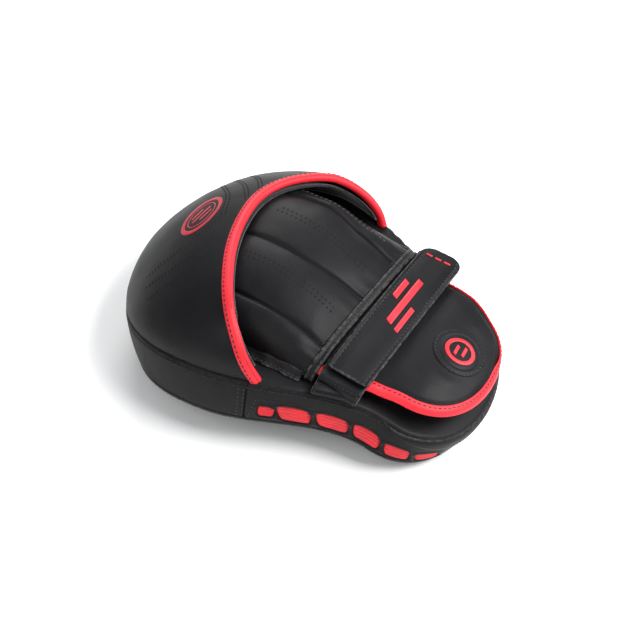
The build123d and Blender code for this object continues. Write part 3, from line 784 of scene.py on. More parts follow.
_phi = np.linspace(0, math.pi, 361)
_half, _, _power = hood_size(mouth(_phi))
_mouth_x = -np.sign(np.cos(_phi)) * _half * np.abs(np.cos(_phi)) ** (2 / _power)
_mouth_s = mouth(_phi)


def mouth_plan_s(x):
    """s of the bound edge in plan, at x."""
    return np.interp(x, _mouth_x, _mouth_s)


def hood_skin(x, s):
    """The hood's leather away from its edges, with its unevenness."""
    p, _, _, n = frame_on(hood_at, x, s)
    return p + n * ((lumps(p, 42.0, 0.7, 3.0) + lumps(p, 13.0, 0.16, 9.0)) * MM)[..., None]


HOOD_TIP = 132.49
phi = np.linspace(0.0, math.pi, 141)[None, :]
v = np.linspace(0, 1, 76)[:, None]
s = HOOD_TIP - (HOOD_TIP - mouth(phi)) * (1 - v) ** 1.7
phi = np.broadcast_to(phi, s.shape)
top = hood(phi, s)
nrm = grid_normals(top)
calm = ease(np.sin(phi) / 0.25) * ease(v / 0.06) * ease((1 - v) / 0.2)
top = top + nrm * ((lumps(top, 42.0, 0.7, 3.0) + lumps(top, 13.0, 0.16, 9.0)) * calm * MM)[..., None]
hood_leather = shell("hood_leather", top, lifted(top, nrm, -1.6), black_leather, "root",
                     worn=np.clip(1 - np.sin(phi) / 0.03, 0, 1) * 0.08)
dress(hood_leather, "black_leather", "hood_shell", "hood_padding", fill=0.8)

phi = np.radians(np.linspace(7, 173, 101))[None, :]
v = np.linspace(0.0, 0.84, 40)[:, None]
s = HOOD_TIP - (HOOD_TIP - mouth(phi)) * (1 - v) ** 1.7
phi = np.broadcast_to(phi, s.shape)
inner = hood(phi, s)
nrm = grid_normals(inner)
low = inner - nrm * (HOOD_THICKNESS + 0.1) * MM
hood_inside = shell("hood_lining_cloth", lifted(inner, nrm, -6.9), low, lining, "root")
dress(hood_inside, "lining_fabric", "hood_lining")

phi = np.linspace(0.0, math.pi, 721)
edge, _, _, edge_n = frame_on(hood, np.clip(phi, 0.05, math.pi - 0.05), mouth(phi), 0.01, 0.5)
edge = hood(phi, mouth(phi))
edge, edge_n = resample(edge, 1.6, edge_n)
edge_n = unit(edge_n)
edge_t = unit(np.gradient(edge, axis=0))
edge_b = unit(np.cross(edge_t, edge_n))
if edge_b[len(edge_b) // 2][1] < 0:
    edge_b = -edge_b


HOOD_TAPE, CUFF_TAPE = 4.9, 5.2


def tape_section(width, depth, proud=0.45):
    """A tape folded round an edge: inwards on top, round the front, and back underneath."""
    d = -depth * 0.5
    on_top = [(width + 0.7, -0.2), (width + 0.6, proud * 0.8), (width - 0.4, proud),
              (width * 0.62, proud + 0.3), (width * 0.3, proud + 0.25), (0.5, proud * 0.5)]
    round_front = [(-0.5, -0.6), (-1.0, d * 0.25), (-1.15, d * 0.5), (-1.0, d * 0.78), (-0.4, d - 0.1)]
    below = [(0.8, d - 0.75), (2.6, d - 0.9), (width - 0.6, d - 0.8), (width, d - 0.2)]
    return on_top + round_front + below + [(width * 0.6, d + 0.8), (width * 0.55, -1.0)]


TAPE_WEAR = [0, 0.1, 0, 0, 0, 0.2, 0.45, 0.3, 0.2, 0.3, 0.2, 0, 0, 0, 0, 0, 0]     # along that section
TAPE_STITCH = {"pitch": 3.5, "length": 2.6, "width": 0.85, "height": 0.42}
STITCH_INSET, STITCH_LIFT = 1.0, 0.62
hood_tape = sweep("hood_edge_tape", edge, edge_b, edge_n, tape_section(HOOD_TAPE, HOOD_THICKNESS),
                  red_leather, "root", worn=TAPE_WEAR)
dress(hood_tape, "red_binding", "hood_binding")
stitch_line = lifted(lifted(edge, edge_b, HOOD_TAPE - STITCH_INSET), edge_n, STITCH_LIFT)
sew("hood_edge_stitches", stitch_line, edge_n, "root", **TAPE_STITCH)

# round printed mark on the hood, a plain ring round three bars
# the hood is gentler than the real one at its front, so the mark is foreshortened
EMBLEM_SHAPE = ((1.0, 0.36), (-0.16, 0.46))
EMBLEM_PLACE = (4.0, 85.0)
EMBLEM_RINGS = (("ring", 16.8, 20.5, 0.22), ("inner", 13.0, 13.9, 0.2))
EMBLEM_BARS = ((-8.0, 4.0, 5.0, 7.0), (-9.5, 9.5, -1.0, 1.0), (-4.0, 8.0, -7.0, -5.0))


def print_patch(name, surface, place, offsets, lift, material, body):
    """Thin printed piece over a surface, on a grid of plan offsets from a place."""
    p, _, _, n = frame_on(surface, place[0] + offsets[0], place[1] + offsets[1])
    return shell(name, lifted(p, n, lift), lifted(p, n, -0.25), material, body)


def bar_grid(x0, x1, y0, y1, slant=0.0, cols=14, rows=5):
    u, w = np.meshgrid(np.linspace(0, 1, cols), np.linspace(0, 1, rows), indexing="ij")
    y = y0 + (y1 - y0) * w
    return x0 + (x1 - x0) * u + slant * (y - (y0 + y1) / 2), y


def closed_ring(name, surface, place, inner, outer, lift, material, body, shape=((1, 0), (0, 1)), count=80):
    """Printed ring as a closed band."""
    angle = np.linspace(0, 2 * math.pi, count, endpoint=False)
    section = [(inner, -0.25), (inner, lift * 0.8), (inner + 0.25, lift), ((inner + outer) / 2, lift),
               (outer - 0.25, lift), (outer, lift * 0.8), (outer, -0.25)]
    rings = []
    for r, h in section:
        a, b = np.array(shape) @ np.stack([r * np.cos(angle), r * np.sin(angle)])
        p, _, _, n = frame_on(surface, place[0] + a, place[1] + b)
        rings.append(p + n * h * MM)
    ring = np.stack(rings, 1)
    rows, cols = ring.shape[:2]
    faces = tube_faces(rows, cols, (False, False))
    last = (rows - 1) * cols
    faces += [[last + j, last + (j + 1) % cols, (j + 1) % cols, j] for j in range(cols)]
    return make(name, ring.reshape(-1, 3), faces, material, body)


for part, inner, outer, lift in EMBLEM_RINGS:
    ring = closed_ring(f"hood_emblem_{part}", hood_skin, EMBLEM_PLACE, inner, outer, lift, emblem_print,
                       "root", EMBLEM_SHAPE)
    dress(ring, "red_print", *(["hood_emblem"] if part == "ring" else []))
for k, (x0, x1, y0, y1) in enumerate(EMBLEM_BARS):
    offsets = np.tensordot(np.array(EMBLEM_SHAPE), np.stack(bar_grid(x0, x1, y0, y1)), 1)
    bar = print_patch(f"hood_emblem_bar_{k + 1}", hood_skin, EMBLEM_PLACE, offsets, 0.2, emblem_print, "root")
    dress(bar, "red_print")

# faint perforated rows across the hood, their holes dark with painted shade
HOOD_ROWS = (((-51.0, 98.0), (-27.5, 78.5), (-3.0, 69.0)), ((-59.0, 93.5), (-42.5, 74.5), (-21.0, 61.0)),
             ((-68.0, 87.0), (-53.5, 70.5), (-35.0, 58.5)))
for side, label in ((1, "near"), (-1, "far")):
    for k, row in enumerate(HOOD_ROWS):
        for part, shift in (("a", -1.4), ("b", 1.4)):
            path = smooth_path(row, 120)
            path[:, 0], path[:, 1] = side * path[:, 0], path[:, 1] + shift
            p, _, _, n = frame_on(hood_skin, path[:, 0], path[:, 1])
            punch(f"hood_holes_{label}_{k + 1}_{part}", p, n, 0.5, 2.7, hole_painted_shade)


# ---- hand cover ----
def cover_size(s):
    crown = soft_interp(COVER_STATIONS, COVER_CROWNS, s)
    forward = np.clip((np.asarray(s) - TRIM_AT) / 60.0, 0, 1)
    power = COVER_SECTION[0] + (COVER_SECTION[1] - COVER_SECTION[0]) * forward
    return COVER_HALF, crown, power


SEAM_LINES = (((45, 51), (15, 52), (-5, 47), (-32, 41)), ((47, 0), (10, -1), (-28, 0)),
              ((36, -45), (9, -46), (-10, -47), (-25, -49)))


def seam_x(which, s):
    line = SEAM_LINES[which]
    return soft_interp([p[0] for p in line], [p[1] for p in line], s)


def puff(x, s):
    """Swelling of the four channels and the creases between them, in mm."""
    side = np.full(np.shape(s), COVER_HALF)
    edges = [-side, seam_x(2, s), seam_x(1, s), seam_x(0, s), side]
    swell = np.zeros(np.shape(x))
    for left, right in zip(edges, edges[1:]):
        u = (x - left) / (right - left)
        inside = (u >= 0) & (u <= 1)
        pillow = np.clip(1 - np.abs(2 * np.clip(u, 0, 1) - 1) ** 2.6, 0, 1)
        swell = np.where(inside, 1.9 * pillow, swell)
    trim = TRIM_AT + TRIM_SLANT * x
    swell = swell * (0.35 + 0.65 * ease((s - trim) / 16.0))
    crease = sum(1.25 * np.exp(-((x - edges[k]) / 1.1) ** 2) for k in (1, 2, 3))
    return swell - crease - 0.9


COVER_FAR_FULLNESS = 1.5


def cover_point(x, s):
    """The plain cover, whose far flank is fuller under the hood."""
    half, crown, power = cover_size(s)
    power = power + COVER_FAR_FULLNESS * ease((s + 5.0) / 30.0) * ease(x / 30.0)
    return arch(half, crown, power, arch_phi(x, half, power), s)


def cover_swell(x, s, base):
    """Height of the quilted leather above the plain cover, in mm."""
    to_trim = s - (TRIM_AT + TRIM_SLANT * x - 0.5)
    gather = 0.28 * np.sin(x * 0.72 + 1.5 * np.sin(x * 0.21)) * np.exp(-to_trim / 7.0)
    return puff(x, s) + lumps(base, 24.0, 0.55, 7.0) + lumps(base, 8.0, 0.14, 2.0) + gather


def cover_at(x, s):
    p, _, _, n = frame_on(cover_point, x, s)
    return p + n * (cover_swell(x, s, p) * MM)[..., None]


cells = 4
per_cell = 22
spread = (1 - np.cos(np.linspace(0, math.pi, per_cell + 1))) / 2
u_all = np.concatenate([k + (spread[:-1] if k < cells - 1 else spread) for k in range(cells)])
v = np.linspace(0, 1, 64)[:, None]
s = np.full((64, len(u_all)), 10.0)
for _ in range(6):
    edges = np.stack([np.full(s.shape, -COVER_HALF + 0.01), seam_x(2, s), seam_x(1, s), seam_x(0, s),
                      np.full(s.shape, COVER_HALF - 0.01)])
    k = np.minimum(u_all.astype(int), cells - 1)
    left = np.take_along_axis(edges, np.broadcast_to(k, (1,) + s.shape), 0)[0]
    right = np.take_along_axis(edges, np.broadcast_to(k + 1, (1,) + s.shape), 0)[0]
    x = left + (right - left) * (u_all - k)
    front = np.minimum(mouth_plan_s(x) + COVER_TUCK, 66.0)
    rear = TRIM_AT + TRIM_SLANT * x - 0.5
    s = rear + (front - rear) * v
base = cover_point(x, s)
nrm = grid_normals(base)
swell = cover_swell(x, s, base)
top = lifted(base, nrm, swell)
cover = shell("hand_cover_leather", top, lifted(base, nrm, -6.7), black_leather, "root",
              worn=np.clip(swell - 1.0, 0, 1) * 0.03)
dress(cover, "black_leather", "hand_cover_shell", *(f"hand_cover_foam_{k}" for k in (1, 2, 3, 4)), fill=0.75)
cover_cloth = shell("hand_cover_lining_cloth", lifted(base, nrm, -6.75), lifted(base, nrm, -7.8), lining,
                    "root")
dress(cover_cloth, "lining_fabric", "hand_cover_lining")

# black taped foot of the cover, each side
for side, label in ((-1, "near"), (1, "far")):
    s_line = np.linspace(-27.0 - side * 6, 40.0, 80)
    x_line = side * (COVER_HALF + 1.0 + 0.35 * np.sin(s_line * 0.35))
    line = bend(x_line, s_line, 1.0 + 0.2 * np.sin(s_line * 0.5))
    outward = np.tile([side * 1.0, 0, 0], (len(line), 1))
    up = unit(line - np.array([0, ORIGIN[1], ORIGIN[2]]) * [0, 1, 1] - line * [1, 0, 0])
    section = [(-4.2, 3.8), (-3.6, 4.6), (-2.6, 4.3), (-1.2, 2.4), (0.4, 1.3), (2.4, 0.9), (3.5, 0.5),
               (3.8, -0.2), (3.6, -0.9), (-4.2, -0.9)]
    tape = sweep(f"{label}_cover_foot_tape", line, outward, up, section, black_leather, "root",
                 worn=[0, 0.6, 0.3, 0, 0, 0, 0.5, 0.6, 0, 0])
    dress(tape, "black_leather")
    sew(f"{label}_cover_foot_stitches", line + outward * 1.9 * MM + up * 1.0 * MM, up, "root", grey_thread,
        length=2.1)

# raised trim between cover and cuff
phi = np.linspace(0.03, math.pi - 0.03, 260)
trim_x = -np.cos(phi) * COVER_HALF
for _ in range(4):
    trim_s = TRIM_AT + TRIM_SLANT * trim_x - TRIM_WIDTH / 2
    half, crown, power = cover_size(trim_s)
    trim_x = -np.sign(np.cos(phi)) * half * np.abs(np.cos(phi)) ** (2 / power)


def trim_surface(angle, shift):
    half, crown, power = cover_size(np.interp(angle, phi, trim_s))
    x = -np.sign(np.cos(angle)) * half * np.abs(np.cos(angle)) ** (2 / power)
    return arch(half, crown, power, angle, TRIM_AT + TRIM_SLANT * x - TRIM_WIDTH / 2 + shift)


line, _, _, line_n = frame_on(trim_surface, phi, np.zeros_like(phi), 0.01, 0.4)
line, line_n = resample(line, 1.5, line_n)
line_n = unit(line_n)
line_t = unit(np.gradient(line, axis=0))
line_b = unit(np.cross(line_t, line_n))
if line_b[len(line_b) // 2][1] < 0:
    line_b = -line_b
trim_section = [(3.5, -1.2), (3.5, 0.2), (3.0, 1.1), (2.2, 1.55), (1.3, 1.5), (0.6, 0.95), (0.0, 0.7),
                (-0.6, 0.95), (-1.3, 1.35), (-2.3, 1.4), (-3.1, 0.9), (-3.5, 0.1), (-3.5, -1.2),
                (-3.2, -7.4), (3.2, -7.4)]
trim = sweep("cover_trim_roll", line, line_b, line_n, trim_section, black_leather, "root",
             worn=[0, 0.1, 0.4, 0.5, 0.2, 0, 0, 0, 0.2, 0.4, 0.3, 0, 0, 0, 0])
dress(trim, "black_leather", "hand_cover_trim")
for k, (a, b) in enumerate(((4.3, -0.3), (0.0, 0.75))):
    sew(f"cover_trim_stitches_{k + 1}", line + line_b * a * MM + line_n * b * MM, line_n, "root", pitch=3.0)

# punched double rows on the cover; past the first row the holes are dark with painted shade
ROWS = (((60.0, 50.0), (60.0, 15.0), (56.0, -20.0)), ((28.0, 45.0), (25.5, 10.0), (19.2, -20.0)),
        ((-18.0, 54.0), (-19.5, 17.0), (-23.8, -18.5)))
for k, row in enumerate(ROWS):
    for side in (-1, 1):
        path = smooth_path(row, 160)
        path[:, 0] += side * 1.9
        p = cover_at(path[:, 0], path[:, 1])
        _, _, _, n = frame_on(cover_at, path[:, 0], path[:, 1])
        if side > 0:
            p, n = p[5:], n[5:]
        punch(f"cover_holes_{k + 1}_{'a' if side < 0 else 'b'}", p, n, 0.62, 3.5,
              grey_thread if k == 0 else hole_painted_shade)


# ---- cuff ----
def cuff_half(s):
    s = np.asarray(s, float)
    u = ease((CUFF_FRONT_SHOULDER - s) / (CUFF_FRONT_SHOULDER - CUFF_SHOULDER))
    end = np.clip((CUFF_SHOULDER - s) / (CUFF_SHOULDER - CUFF_TIP), 0, 1)
    return (CUFF_HALF - (CUFF_HALF - CUFF_END_HALF) * u) * (1 - end ** CUFF_POWER) ** (1 / CUFF_POWER)


CUFF_FAR_STATIONS = (-60.0, -75.0, -85.0, -95.0, -103.0, -110.0, -117.0, -124.5)
CUFF_FAR_NARROWING = (0.0, -0.02, 0.01, 0.075, 0.115, 0.10, 0.05, 0.0)


def cuff_plan_x(x, s):
    """The far half of the cuff tapers straighter towards the wrist than the near half."""
    return np.where(x > 0, x * (1 - soft_interp(CUFF_FAR_STATIONS, CUFF_FAR_NARROWING, s)), x)


_t = np.linspace(0, math.pi / 2, 200)
_end = np.stack([-CUFF_END_HALF * np.cos(_t) ** (2 / CUFF_POWER),
                 CUFF_SHOULDER - (CUFF_SHOULDER - CUFF_TIP) * np.sin(_t) ** (2 / CUFF_POWER)], -1)
_end[-1, 0] = 0.0
_s = np.linspace(-24.0, CUFF_SHOULDER, 120)[:-1]
_near = np.concatenate([np.stack([-cuff_half(_s), _s], -1), _end])
cuff_edge = np.concatenate([_near, _near[::-1][1:] * [-1, 1]])
cuff_edge[:, 0] = cuff_plan_x(cuff_edge[:, 0], cuff_edge[:, 1])


def cuff_front(x):
    return TRIM_AT + TRIM_SLANT * x - TRIM_WIDTH


def cuff_grid(inset, across, end, middle):
    u = np.linspace(-1, 1, across)
    xs, ss = [], []
    for v in np.linspace(1, 0, end):
        a, b = round_off(u, v, CUFF_POWER)
        xs.append((CUFF_END_HALF - inset) * a)
        ss.append(CUFF_SHOULDER - (CUFF_SHOULDER - CUFF_TIP - inset) * b)
    for w in np.linspace(0, 1, middle)[1:]:
        s_row = np.full(across, CUFF_SHOULDER)
        for _ in range(4):
            x_row = u * (cuff_half(s_row) - inset)
            s_row = CUFF_SHOULDER + (cuff_front(x_row) + 0.5 - CUFF_SHOULDER) * w
        xs.append(x_row)
        ss.append(s_row)
    xs, ss = np.array(xs), np.array(ss)
    return cuff_plan_x(xs, ss), ss


CUFF_DROP, CUFF_DROP_WIDTH = 2.2, 9.0
CUFF_ROLL, CUFF_ROLL_WIDTH = 7.0, 6.9


def cuff_surface(x, s):
    """The cuff's top, whose padded edge sags behind the strap and rolls right over on the far side."""
    x, s = together(x, s)
    half = cuff_half(np.maximum(s, CUFF_SHOULDER))
    half = np.where(x > 0, cuff_plan_x(half, s), half)
    past = np.clip((CUFF_SHOULDER - s) / (CUFF_SHOULDER - CUFF_TIP), 0, 2)
    share = (np.abs(x / half) ** CUFF_POWER + past ** CUFF_POWER) ** (1 / CUFF_POWER)
    to_rim = (1 - share) * 50.0
    sag = CUFF_DROP * (1 - np.clip(to_rim / CUFF_DROP_WIDTH, 0, 1)) ** 2
    rolled = np.clip(CUFF_ROLL_WIDTH - to_rim, 0, CUFF_ROLL_WIDTH)
    roll = CUFF_ROLL - np.sqrt(CUFF_ROLL ** 2 - rolled ** 2)
    far = ease((x - 6.0) / 26.0)
    drop = (sag * (1 - far) + roll * far) * ease((-60.0 - s) / 12.0)
    return bend(x, s, cuff_lift(x, s) - drop)


x, s = cuff_grid(2.6, 81, 26, 44)
plan = np.stack([x, s], -1).reshape(-1, 1, 2)
gap = np.linalg.norm(plan - cuff_edge[None, ::2], axis=2).min(1).reshape(x.shape)
top = cuff_surface(x, s)
nrm = grid_normals(top)
badge_r = np.hypot(x, (s - BADGE_AT))
swell = 0.9 * ease((gap - 4.0) / 16.0) - 0.55 * (1 - ease((gap - 5.5) / 3.0))
under_badge = 1 - ease((badge_r - BADGE_RADIUS) / 9.0)
swell = swell * (1 - under_badge) + 0.35 * under_badge
calm = ease((gap - 5) / 8) * (1 - under_badge)
swell = swell + (lumps(top, 26.0, 0.6, 11.0) + lumps(top, 9.0, 0.12, 4.0)) * calm
cuff_piece = shell("cuff_leather", lifted(top, nrm, swell), lifted(top, nrm, -5.6), black_leather)
dress(cuff_piece, "black_leather", "cuff_root_shell", "cuff_root_foam", "cuff_shell", "cuff_foam", fill=0.7)
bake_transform(cuff_piece)
cuff_cloth = shell("cuff_lining_cloth", lifted(top, nrm, -5.65), lifted(top, nrm, -6.75), lining)
dress(cuff_cloth, "lining_fabric", "cuff_root_lining", "cuff_lining")
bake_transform(cuff_cloth)

keep = cuff_edge[:, 1] < np.interp(cuff_edge[:, 0], (-70, 70), (-27.5, -38.5))
cuff_line = cuff_edge[keep]
step = np.gradient(cuff_line, axis=0)
inwards = unit(np.stack([step[:, 1], -step[:, 0]], -1))
if inwards[len(inwards) // 2][1] < 0:
    inwards = -inwards
p, tx, ts, n = frame_on(cuff_surface, cuff_line[:, 0], cuff_line[:, 1])
b = unit(tx * inwards[:, :1] + ts * inwards[:, 1:])
p, n, b = resample(p, 1.6, n, b)
n = unit(n)
b = unit(b - n * (b * n).sum(-1, keepdims=True))
cuff_tape = sweep("cuff_edge_tape", p, b, n, tape_section(CUFF_TAPE, CUFF_THICKNESS), red_leather,
                  worn=TAPE_WEAR)
dress(cuff_tape, "red_binding", "cuff_root_binding", "cuff_binding")
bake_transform(cuff_tape)
stitch_line = lifted(lifted(p, b, CUFF_TAPE - STITCH_INSET - 0.1), n, STITCH_LIFT)
cuff_stitches = sew("cuff_edge_stitches", stitch_line, n, **TAPE_STITCH)
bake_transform(cuff_stitches)

# stitched round badge with a plain raised mark
angle = np.linspace(0, 2 * math.pi, 97)
profile = ((0.0, 0.55), (4, 0.55), (8, 0.55), (11.2, 0.55), (12.3, 0.5), (12.9, 0.22), (13.2, 0.22),
           (13.7, 0.5), (14.6, 0.62), (15.6, 0.6), (16.4, 0.5), (17.2, 0.42), (17.7, 0.25), (18.0, -0.5))
rings = []
for r, h in profile:
    px, ps = r * np.cos(angle[:-1]), BADGE_AT + r * np.sin(angle[:-1]) * 0.94
    p, _, _, n = frame_on(cuff_surface, px, ps)
    rings.append(p + n * (h + 0.5) * MM)
ring = np.stack(rings)
rows, cols = ring.shape[:2]
badge = make("cuff_badge_disc", ring.reshape(-1, 3), tube_faces(rows, cols, (False, True)), black_leather,
             "cuff")
dress(badge, "black_leather", "cuff_badge")
px, ps = 16.4 * np.cos(angle), BADGE_AT + 16.4 * np.sin(angle) * 0.94
p, _, _, n = frame_on(cuff_surface, px, ps)
sew("cuff_badge_stitches", lifted(p, n, 1.02), n, "cuff", length=2.1, width=0.75)


def badge_surface(x, s):
    return bend(x, s, cuff_lift(x, s) + 1.02)


mark = closed_ring("cuff_badge_mark_ring", badge_surface, (0.0, BADGE_AT), 7.2, 9.8, 0.55, red_print, "cuff")
dress(mark, "red_print")
for k, (x0, x1, y0, y1) in enumerate(((-4.6, 3.0, 1.4, 3.4), (-3.0, 4.6, -3.4, -1.4))):
    bar = print_patch(f"cuff_badge_mark_bar_{k + 1}", badge_surface, (0.0, BADGE_AT),
                      bar_grid(x0, x1, y0, y1, 0.4), 0.5, red_print, "cuff")
    dress(bar, "red_print")


# ---- strap ----
def strap_mid(x):
    return STRAP_AT + STRAP_SLANT * x


def strap_plan(b, x):
    """Plan point for b from -1 (wrist edge) to 1 (finger edge) and x along the strap."""
    half = STRAP_WIDTH / 2
    tip = np.clip((x - (STRAP_TIP - STRAP_ROUND)) / STRAP_ROUND, 0, 1)
    near = np.clip(((STRAP_NEAR + 2.0) - x) / 2.0, 0, 1)
    width = half * (1 - tip ** 2.6) ** (1 / 2.6) * (1 - near ** 4) ** (1 / 4)
    return x, strap_mid(x) + b * width


STRAP_TOP = STRAP_CLEARANCE + STRAP_LINING + STRAP_SHELL


def strap_surface(x, s):
    return bend(x, s, cuff_lift(x, s) + STRAP_TOP)


t = np.linspace(0, 1, 120)
x_line = np.interp(t, (0, 0.06, 0.88, 1), (STRAP_NEAR, STRAP_NEAR + 2.2, STRAP_TIP - 10, STRAP_TIP))
x_line[-12:] = STRAP_TIP - 10 + 10 * np.sin(np.linspace(0.12, 1, 12) * math.pi / 2)
b_line = np.sin(np.linspace(-1, 1, 37) * math.pi / 2)
b, x = np.meshgrid(b_line, x_line)
x, s = strap_plan(b, x)
half_here = np.abs(strap_plan(np.ones_like(b), x)[1] - strap_mid(x))
side_gap = half_here * (1 - np.abs(b))
end_gap = np.minimum(x - STRAP_NEAR, STRAP_TIP - x)
gap = np.minimum(side_gap, np.maximum(end_gap, 0))
top = strap_surface(x, s)
nrm = grid_normals(top)
swell = -1.0 * (1 - np.sqrt(np.clip(1 - (1 - np.clip(gap / 1.3, 0, 1)) ** 2, 0, 1)))
swell = swell - 0.32 * np.exp(-((side_gap - 2.6) / 0.7) ** 2) + 0.35 * ease((side_gap - 3.2) / 5)
swell = swell + lumps(top, 22.0, 0.28, 21.0) * ease(gap / 5)
strap_piece = shell("wrist_strap_leather", lifted(top, nrm, swell), lifted(top, nrm, -STRAP_SHELL),
                    black_leather, worn=np.clip(1 - gap / 1.1, 0, 1) * 0.75)
dress(strap_piece, "black_leather", "strap_shell", "strap_tip_shell")
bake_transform(strap_piece)
UNDER_STRAP = (("wrist_strap_underlay", "strap_lining", STRAP_NEAR + 1, TIP_HINGE - 0.4, "strap"),
               ("wrist_strap_hook_tape", "strap_tip_hook_tape", TIP_HINGE + 0.4, STRAP_TIP - 1.4,
                "strap_tip"))
for name, node, x0, x1, body in UNDER_STRAP:
    xs = np.linspace(x0, x1, 50)
    bb, xx = np.meshgrid(np.linspace(-0.93, 0.93, 25), xs)
    xx, sss = strap_plan(bb, xx)
    under = strap_surface(xx, sss)
    un = grid_normals(under)
    piece = shell(name, lifted(under, un, -STRAP_SHELL - 0.02),
                  lifted(under, un, -STRAP_SHELL - STRAP_LINING), webbing, body)
    dress(piece, "webbing", node)
for k, b_at in enumerate((-0.80, 0.80)):
    xs = np.linspace(STRAP_NEAR + 1.5, STRAP_TIP - 4.0, 300)
    _, ss = strap_plan(np.full_like(xs, b_at), xs)
    p, _, _, n = frame_on(strap_surface, xs, ss)
    rows = sew(f"wrist_strap_stitches_{k + 1}", lifted(p, n, -0.12), n, pitch=3.3, length=2.4, width=0.7)
    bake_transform(rows)
STRAP_BARS = ((-15, 8, -8.0, -4.8), (-11, 34, -1.8, 2.6), (10, 28, 5.4, 9.2))
for k, (x0, x1, y0, y1) in enumerate(STRAP_BARS):
    a, b = bar_grid(x0, x1, y0, y1, 0.5, 40)
    mark = print_patch(f"wrist_strap_mark_{k + 1}", strap_surface, (0.0, STRAP_AT), (a, b + STRAP_SLANT * a),
                       0.66, red_print, None)
    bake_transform(mark)
    dress(mark, "red_print")
TIP_MARK_AT = 61.5
for k in range(3):
    dash = bar_grid(-0.6, 0.6, -7.4 + 6.2 * k, -3.2 + 6.2 * k, 0.0, 5, 7)
    mark = print_patch(f"strap_tip_mark_{k + 1}", strap_surface, (TIP_MARK_AT, strap_mid(TIP_MARK_AT)), dash,
                       0.66, red_print, "strap_tip")
    dress(mark, "red_print")


# ---- tabs that hold the strap ----
def tab_route(s, side, reach):
    """The tab's inner line at s: from the rim, up round the cuff's edge and in under the strap."""
    rim = float(pad.half(s))
    corner = CUFF_HALF + BINDING_PROUD
    height = float(cuff_lift(corner, s)) + BINDING_PROUD
    outside = corner + 1.8
    route = [(rim - 2.5, 0.4), (max(rim - 1.0, outside), 4.5), (outside - 0.5, height - 4.0),
             (corner + 0.3, height), (corner - 4.2, height + 0.4)]
    route += [(px, float(cuff_lift(px, s)) + 1.1) for px in (reach + 8, reach)]
    return smooth_path(route, 60)


for label, side, reach, (s0, s1) in (("near", -1, 50.0, (-31.1, -60.1)), ("far", 1, 34.0, (-40.4, -66.4))):
    s_rows = np.linspace(s0, s1, 31)
    routes = [tab_route(v, side, reach) for v in s_rows]
    inner = np.stack([bend(side * route[:, 0], v, route[:, 1]) for v, route in zip(s_rows, routes)])
    nrm = grid_normals(inner)
    out_test = nrm[15, 12] @ np.array([side, 0, 0.3])
    nrm = nrm if out_test > 0 else -nrm
    edge_gap = np.minimum(np.abs(s_rows - s0), np.abs(s_rows - s1))[:, None]
    thick = TAB_THICKNESS - 0.7 * (1 - ease(edge_gap / 1.2)) + lumps(inner, 12.0, 0.35, 31.0)
    tab = shell(f"{label}_tab_leather", lifted(inner, nrm, thick), inner, black_leather, "root",
                worn=np.clip(1 - edge_gap / 0.9, 0, 1) * 0.9 + 0 * inner[..., 0])
    dress(tab, "black_leather", f"{label}_strap_tab")
    outer = inner + nrm * (TAB_THICKNESS * MM)
    rows = [np.s_[2, 4:30], np.s_[-3, 4:30]]
    if side < 0:
        rows += [np.s_[2:-2, 5], np.s_[2:-2, 29]]
    for k, row in enumerate(rows):
        sew(f"{label}_tab_stitches_{k + 1}", outer[row], nrm[row], "root", pitch=2.8, length=1.9)

# ---- grip dome under the palm ----
across, along, high = PALM_DOME
angle = np.linspace(0, 2 * math.pi, 65)[:-1]
rings = []
for r in np.sin(np.linspace(0.03, 1, 16) * math.pi / 2):
    h = high * math.sqrt(max(1 - r * r, 0)) - 1.0
    groove = 0.5 * math.exp(-((r - 0.82) / 0.03) ** 2)
    x, s = across * r * np.cos(angle), PALM_DOME_AT + along * r * np.sin(angle)
    rings.append(bend(x, s, max(h - groove, 0.06)))
ring = np.stack(rings)
rows, cols = ring.shape[:2]
dome = make("palm_grip_dome", ring.reshape(-1, 3), tube_faces(rows, cols), black_leather, "root")
dress(dome, "black_leather", "palm_dome", fill=0.95)

# ---- stitch rows on the pad ----
def wall_sew(name, runs, fs, side, out=0.1):
    runs, fs = np.asarray(runs, float), np.asarray(fs, float)
    real = side_run(runs, side)
    p = wall(real, fs, wall_shape(runs, fs) + out)
    return sew(name, p, wall_normals(real, fs), "root")


for side, label in ((-1, "near"), (1, "far")):
    r0, r1 = float(pad.run_at(-1.0)), float(pad.run_at(-76.0))
    wall_sew(f"{label}_band_stitches_upper", np.linspace(r0, r1, 200), np.full(200, 0.33), side)
    wall_sew(f"{label}_band_stitches_front", np.linspace(r0, r0 + 5, 60), np.linspace(0.33, 0.9, 60), side)
    for k, shift in enumerate((1.6, 5.0)):
        wall_sew(f"{label}_seam_stitches_{k + 1}", np.full(60, seam_run + shift), np.linspace(0.12, 0.9, 60),
                 side)
    low_s = np.linspace(HEEL_SEAM - 4, -134.0, 200)
    wall_sew(f"{label}_heel_stitches", pad.run_at(low_s), heel_depth(low_s) - 0.055, side, 1.2)
rim_runs = np.linspace(0, pad.length, 900)
rim_n = unit(wall(rim_runs, 0.07, 1.0) - wall(rim_runs, 0.07, 0.0))
rim_depth = np.full(900, 0.10)
rim_line = wall(rim_runs, rim_depth, wall_shape(rim_runs, rim_depth) + 0.05)
sew("rim_stitches", rim_line, rim_n, "root", pitch=2.9, length=2.0)
t = np.linspace(0, 2 * math.pi, 400)
p = face_surface(TARGET_RADIUS * np.cos(t), TARGET_AT + TARGET_RADIUS * np.sin(t))
down = -unit(p - np.array([0, ORIGIN[1], ORIGIN[2]]) * [0, 1, 1] - p * [1, 0, 0])
sew("strike_face_target_stitches", lifted(p, down, -0.55), down, "root", grey_thread, pitch=4.0, length=2.8,
    width=0.7)

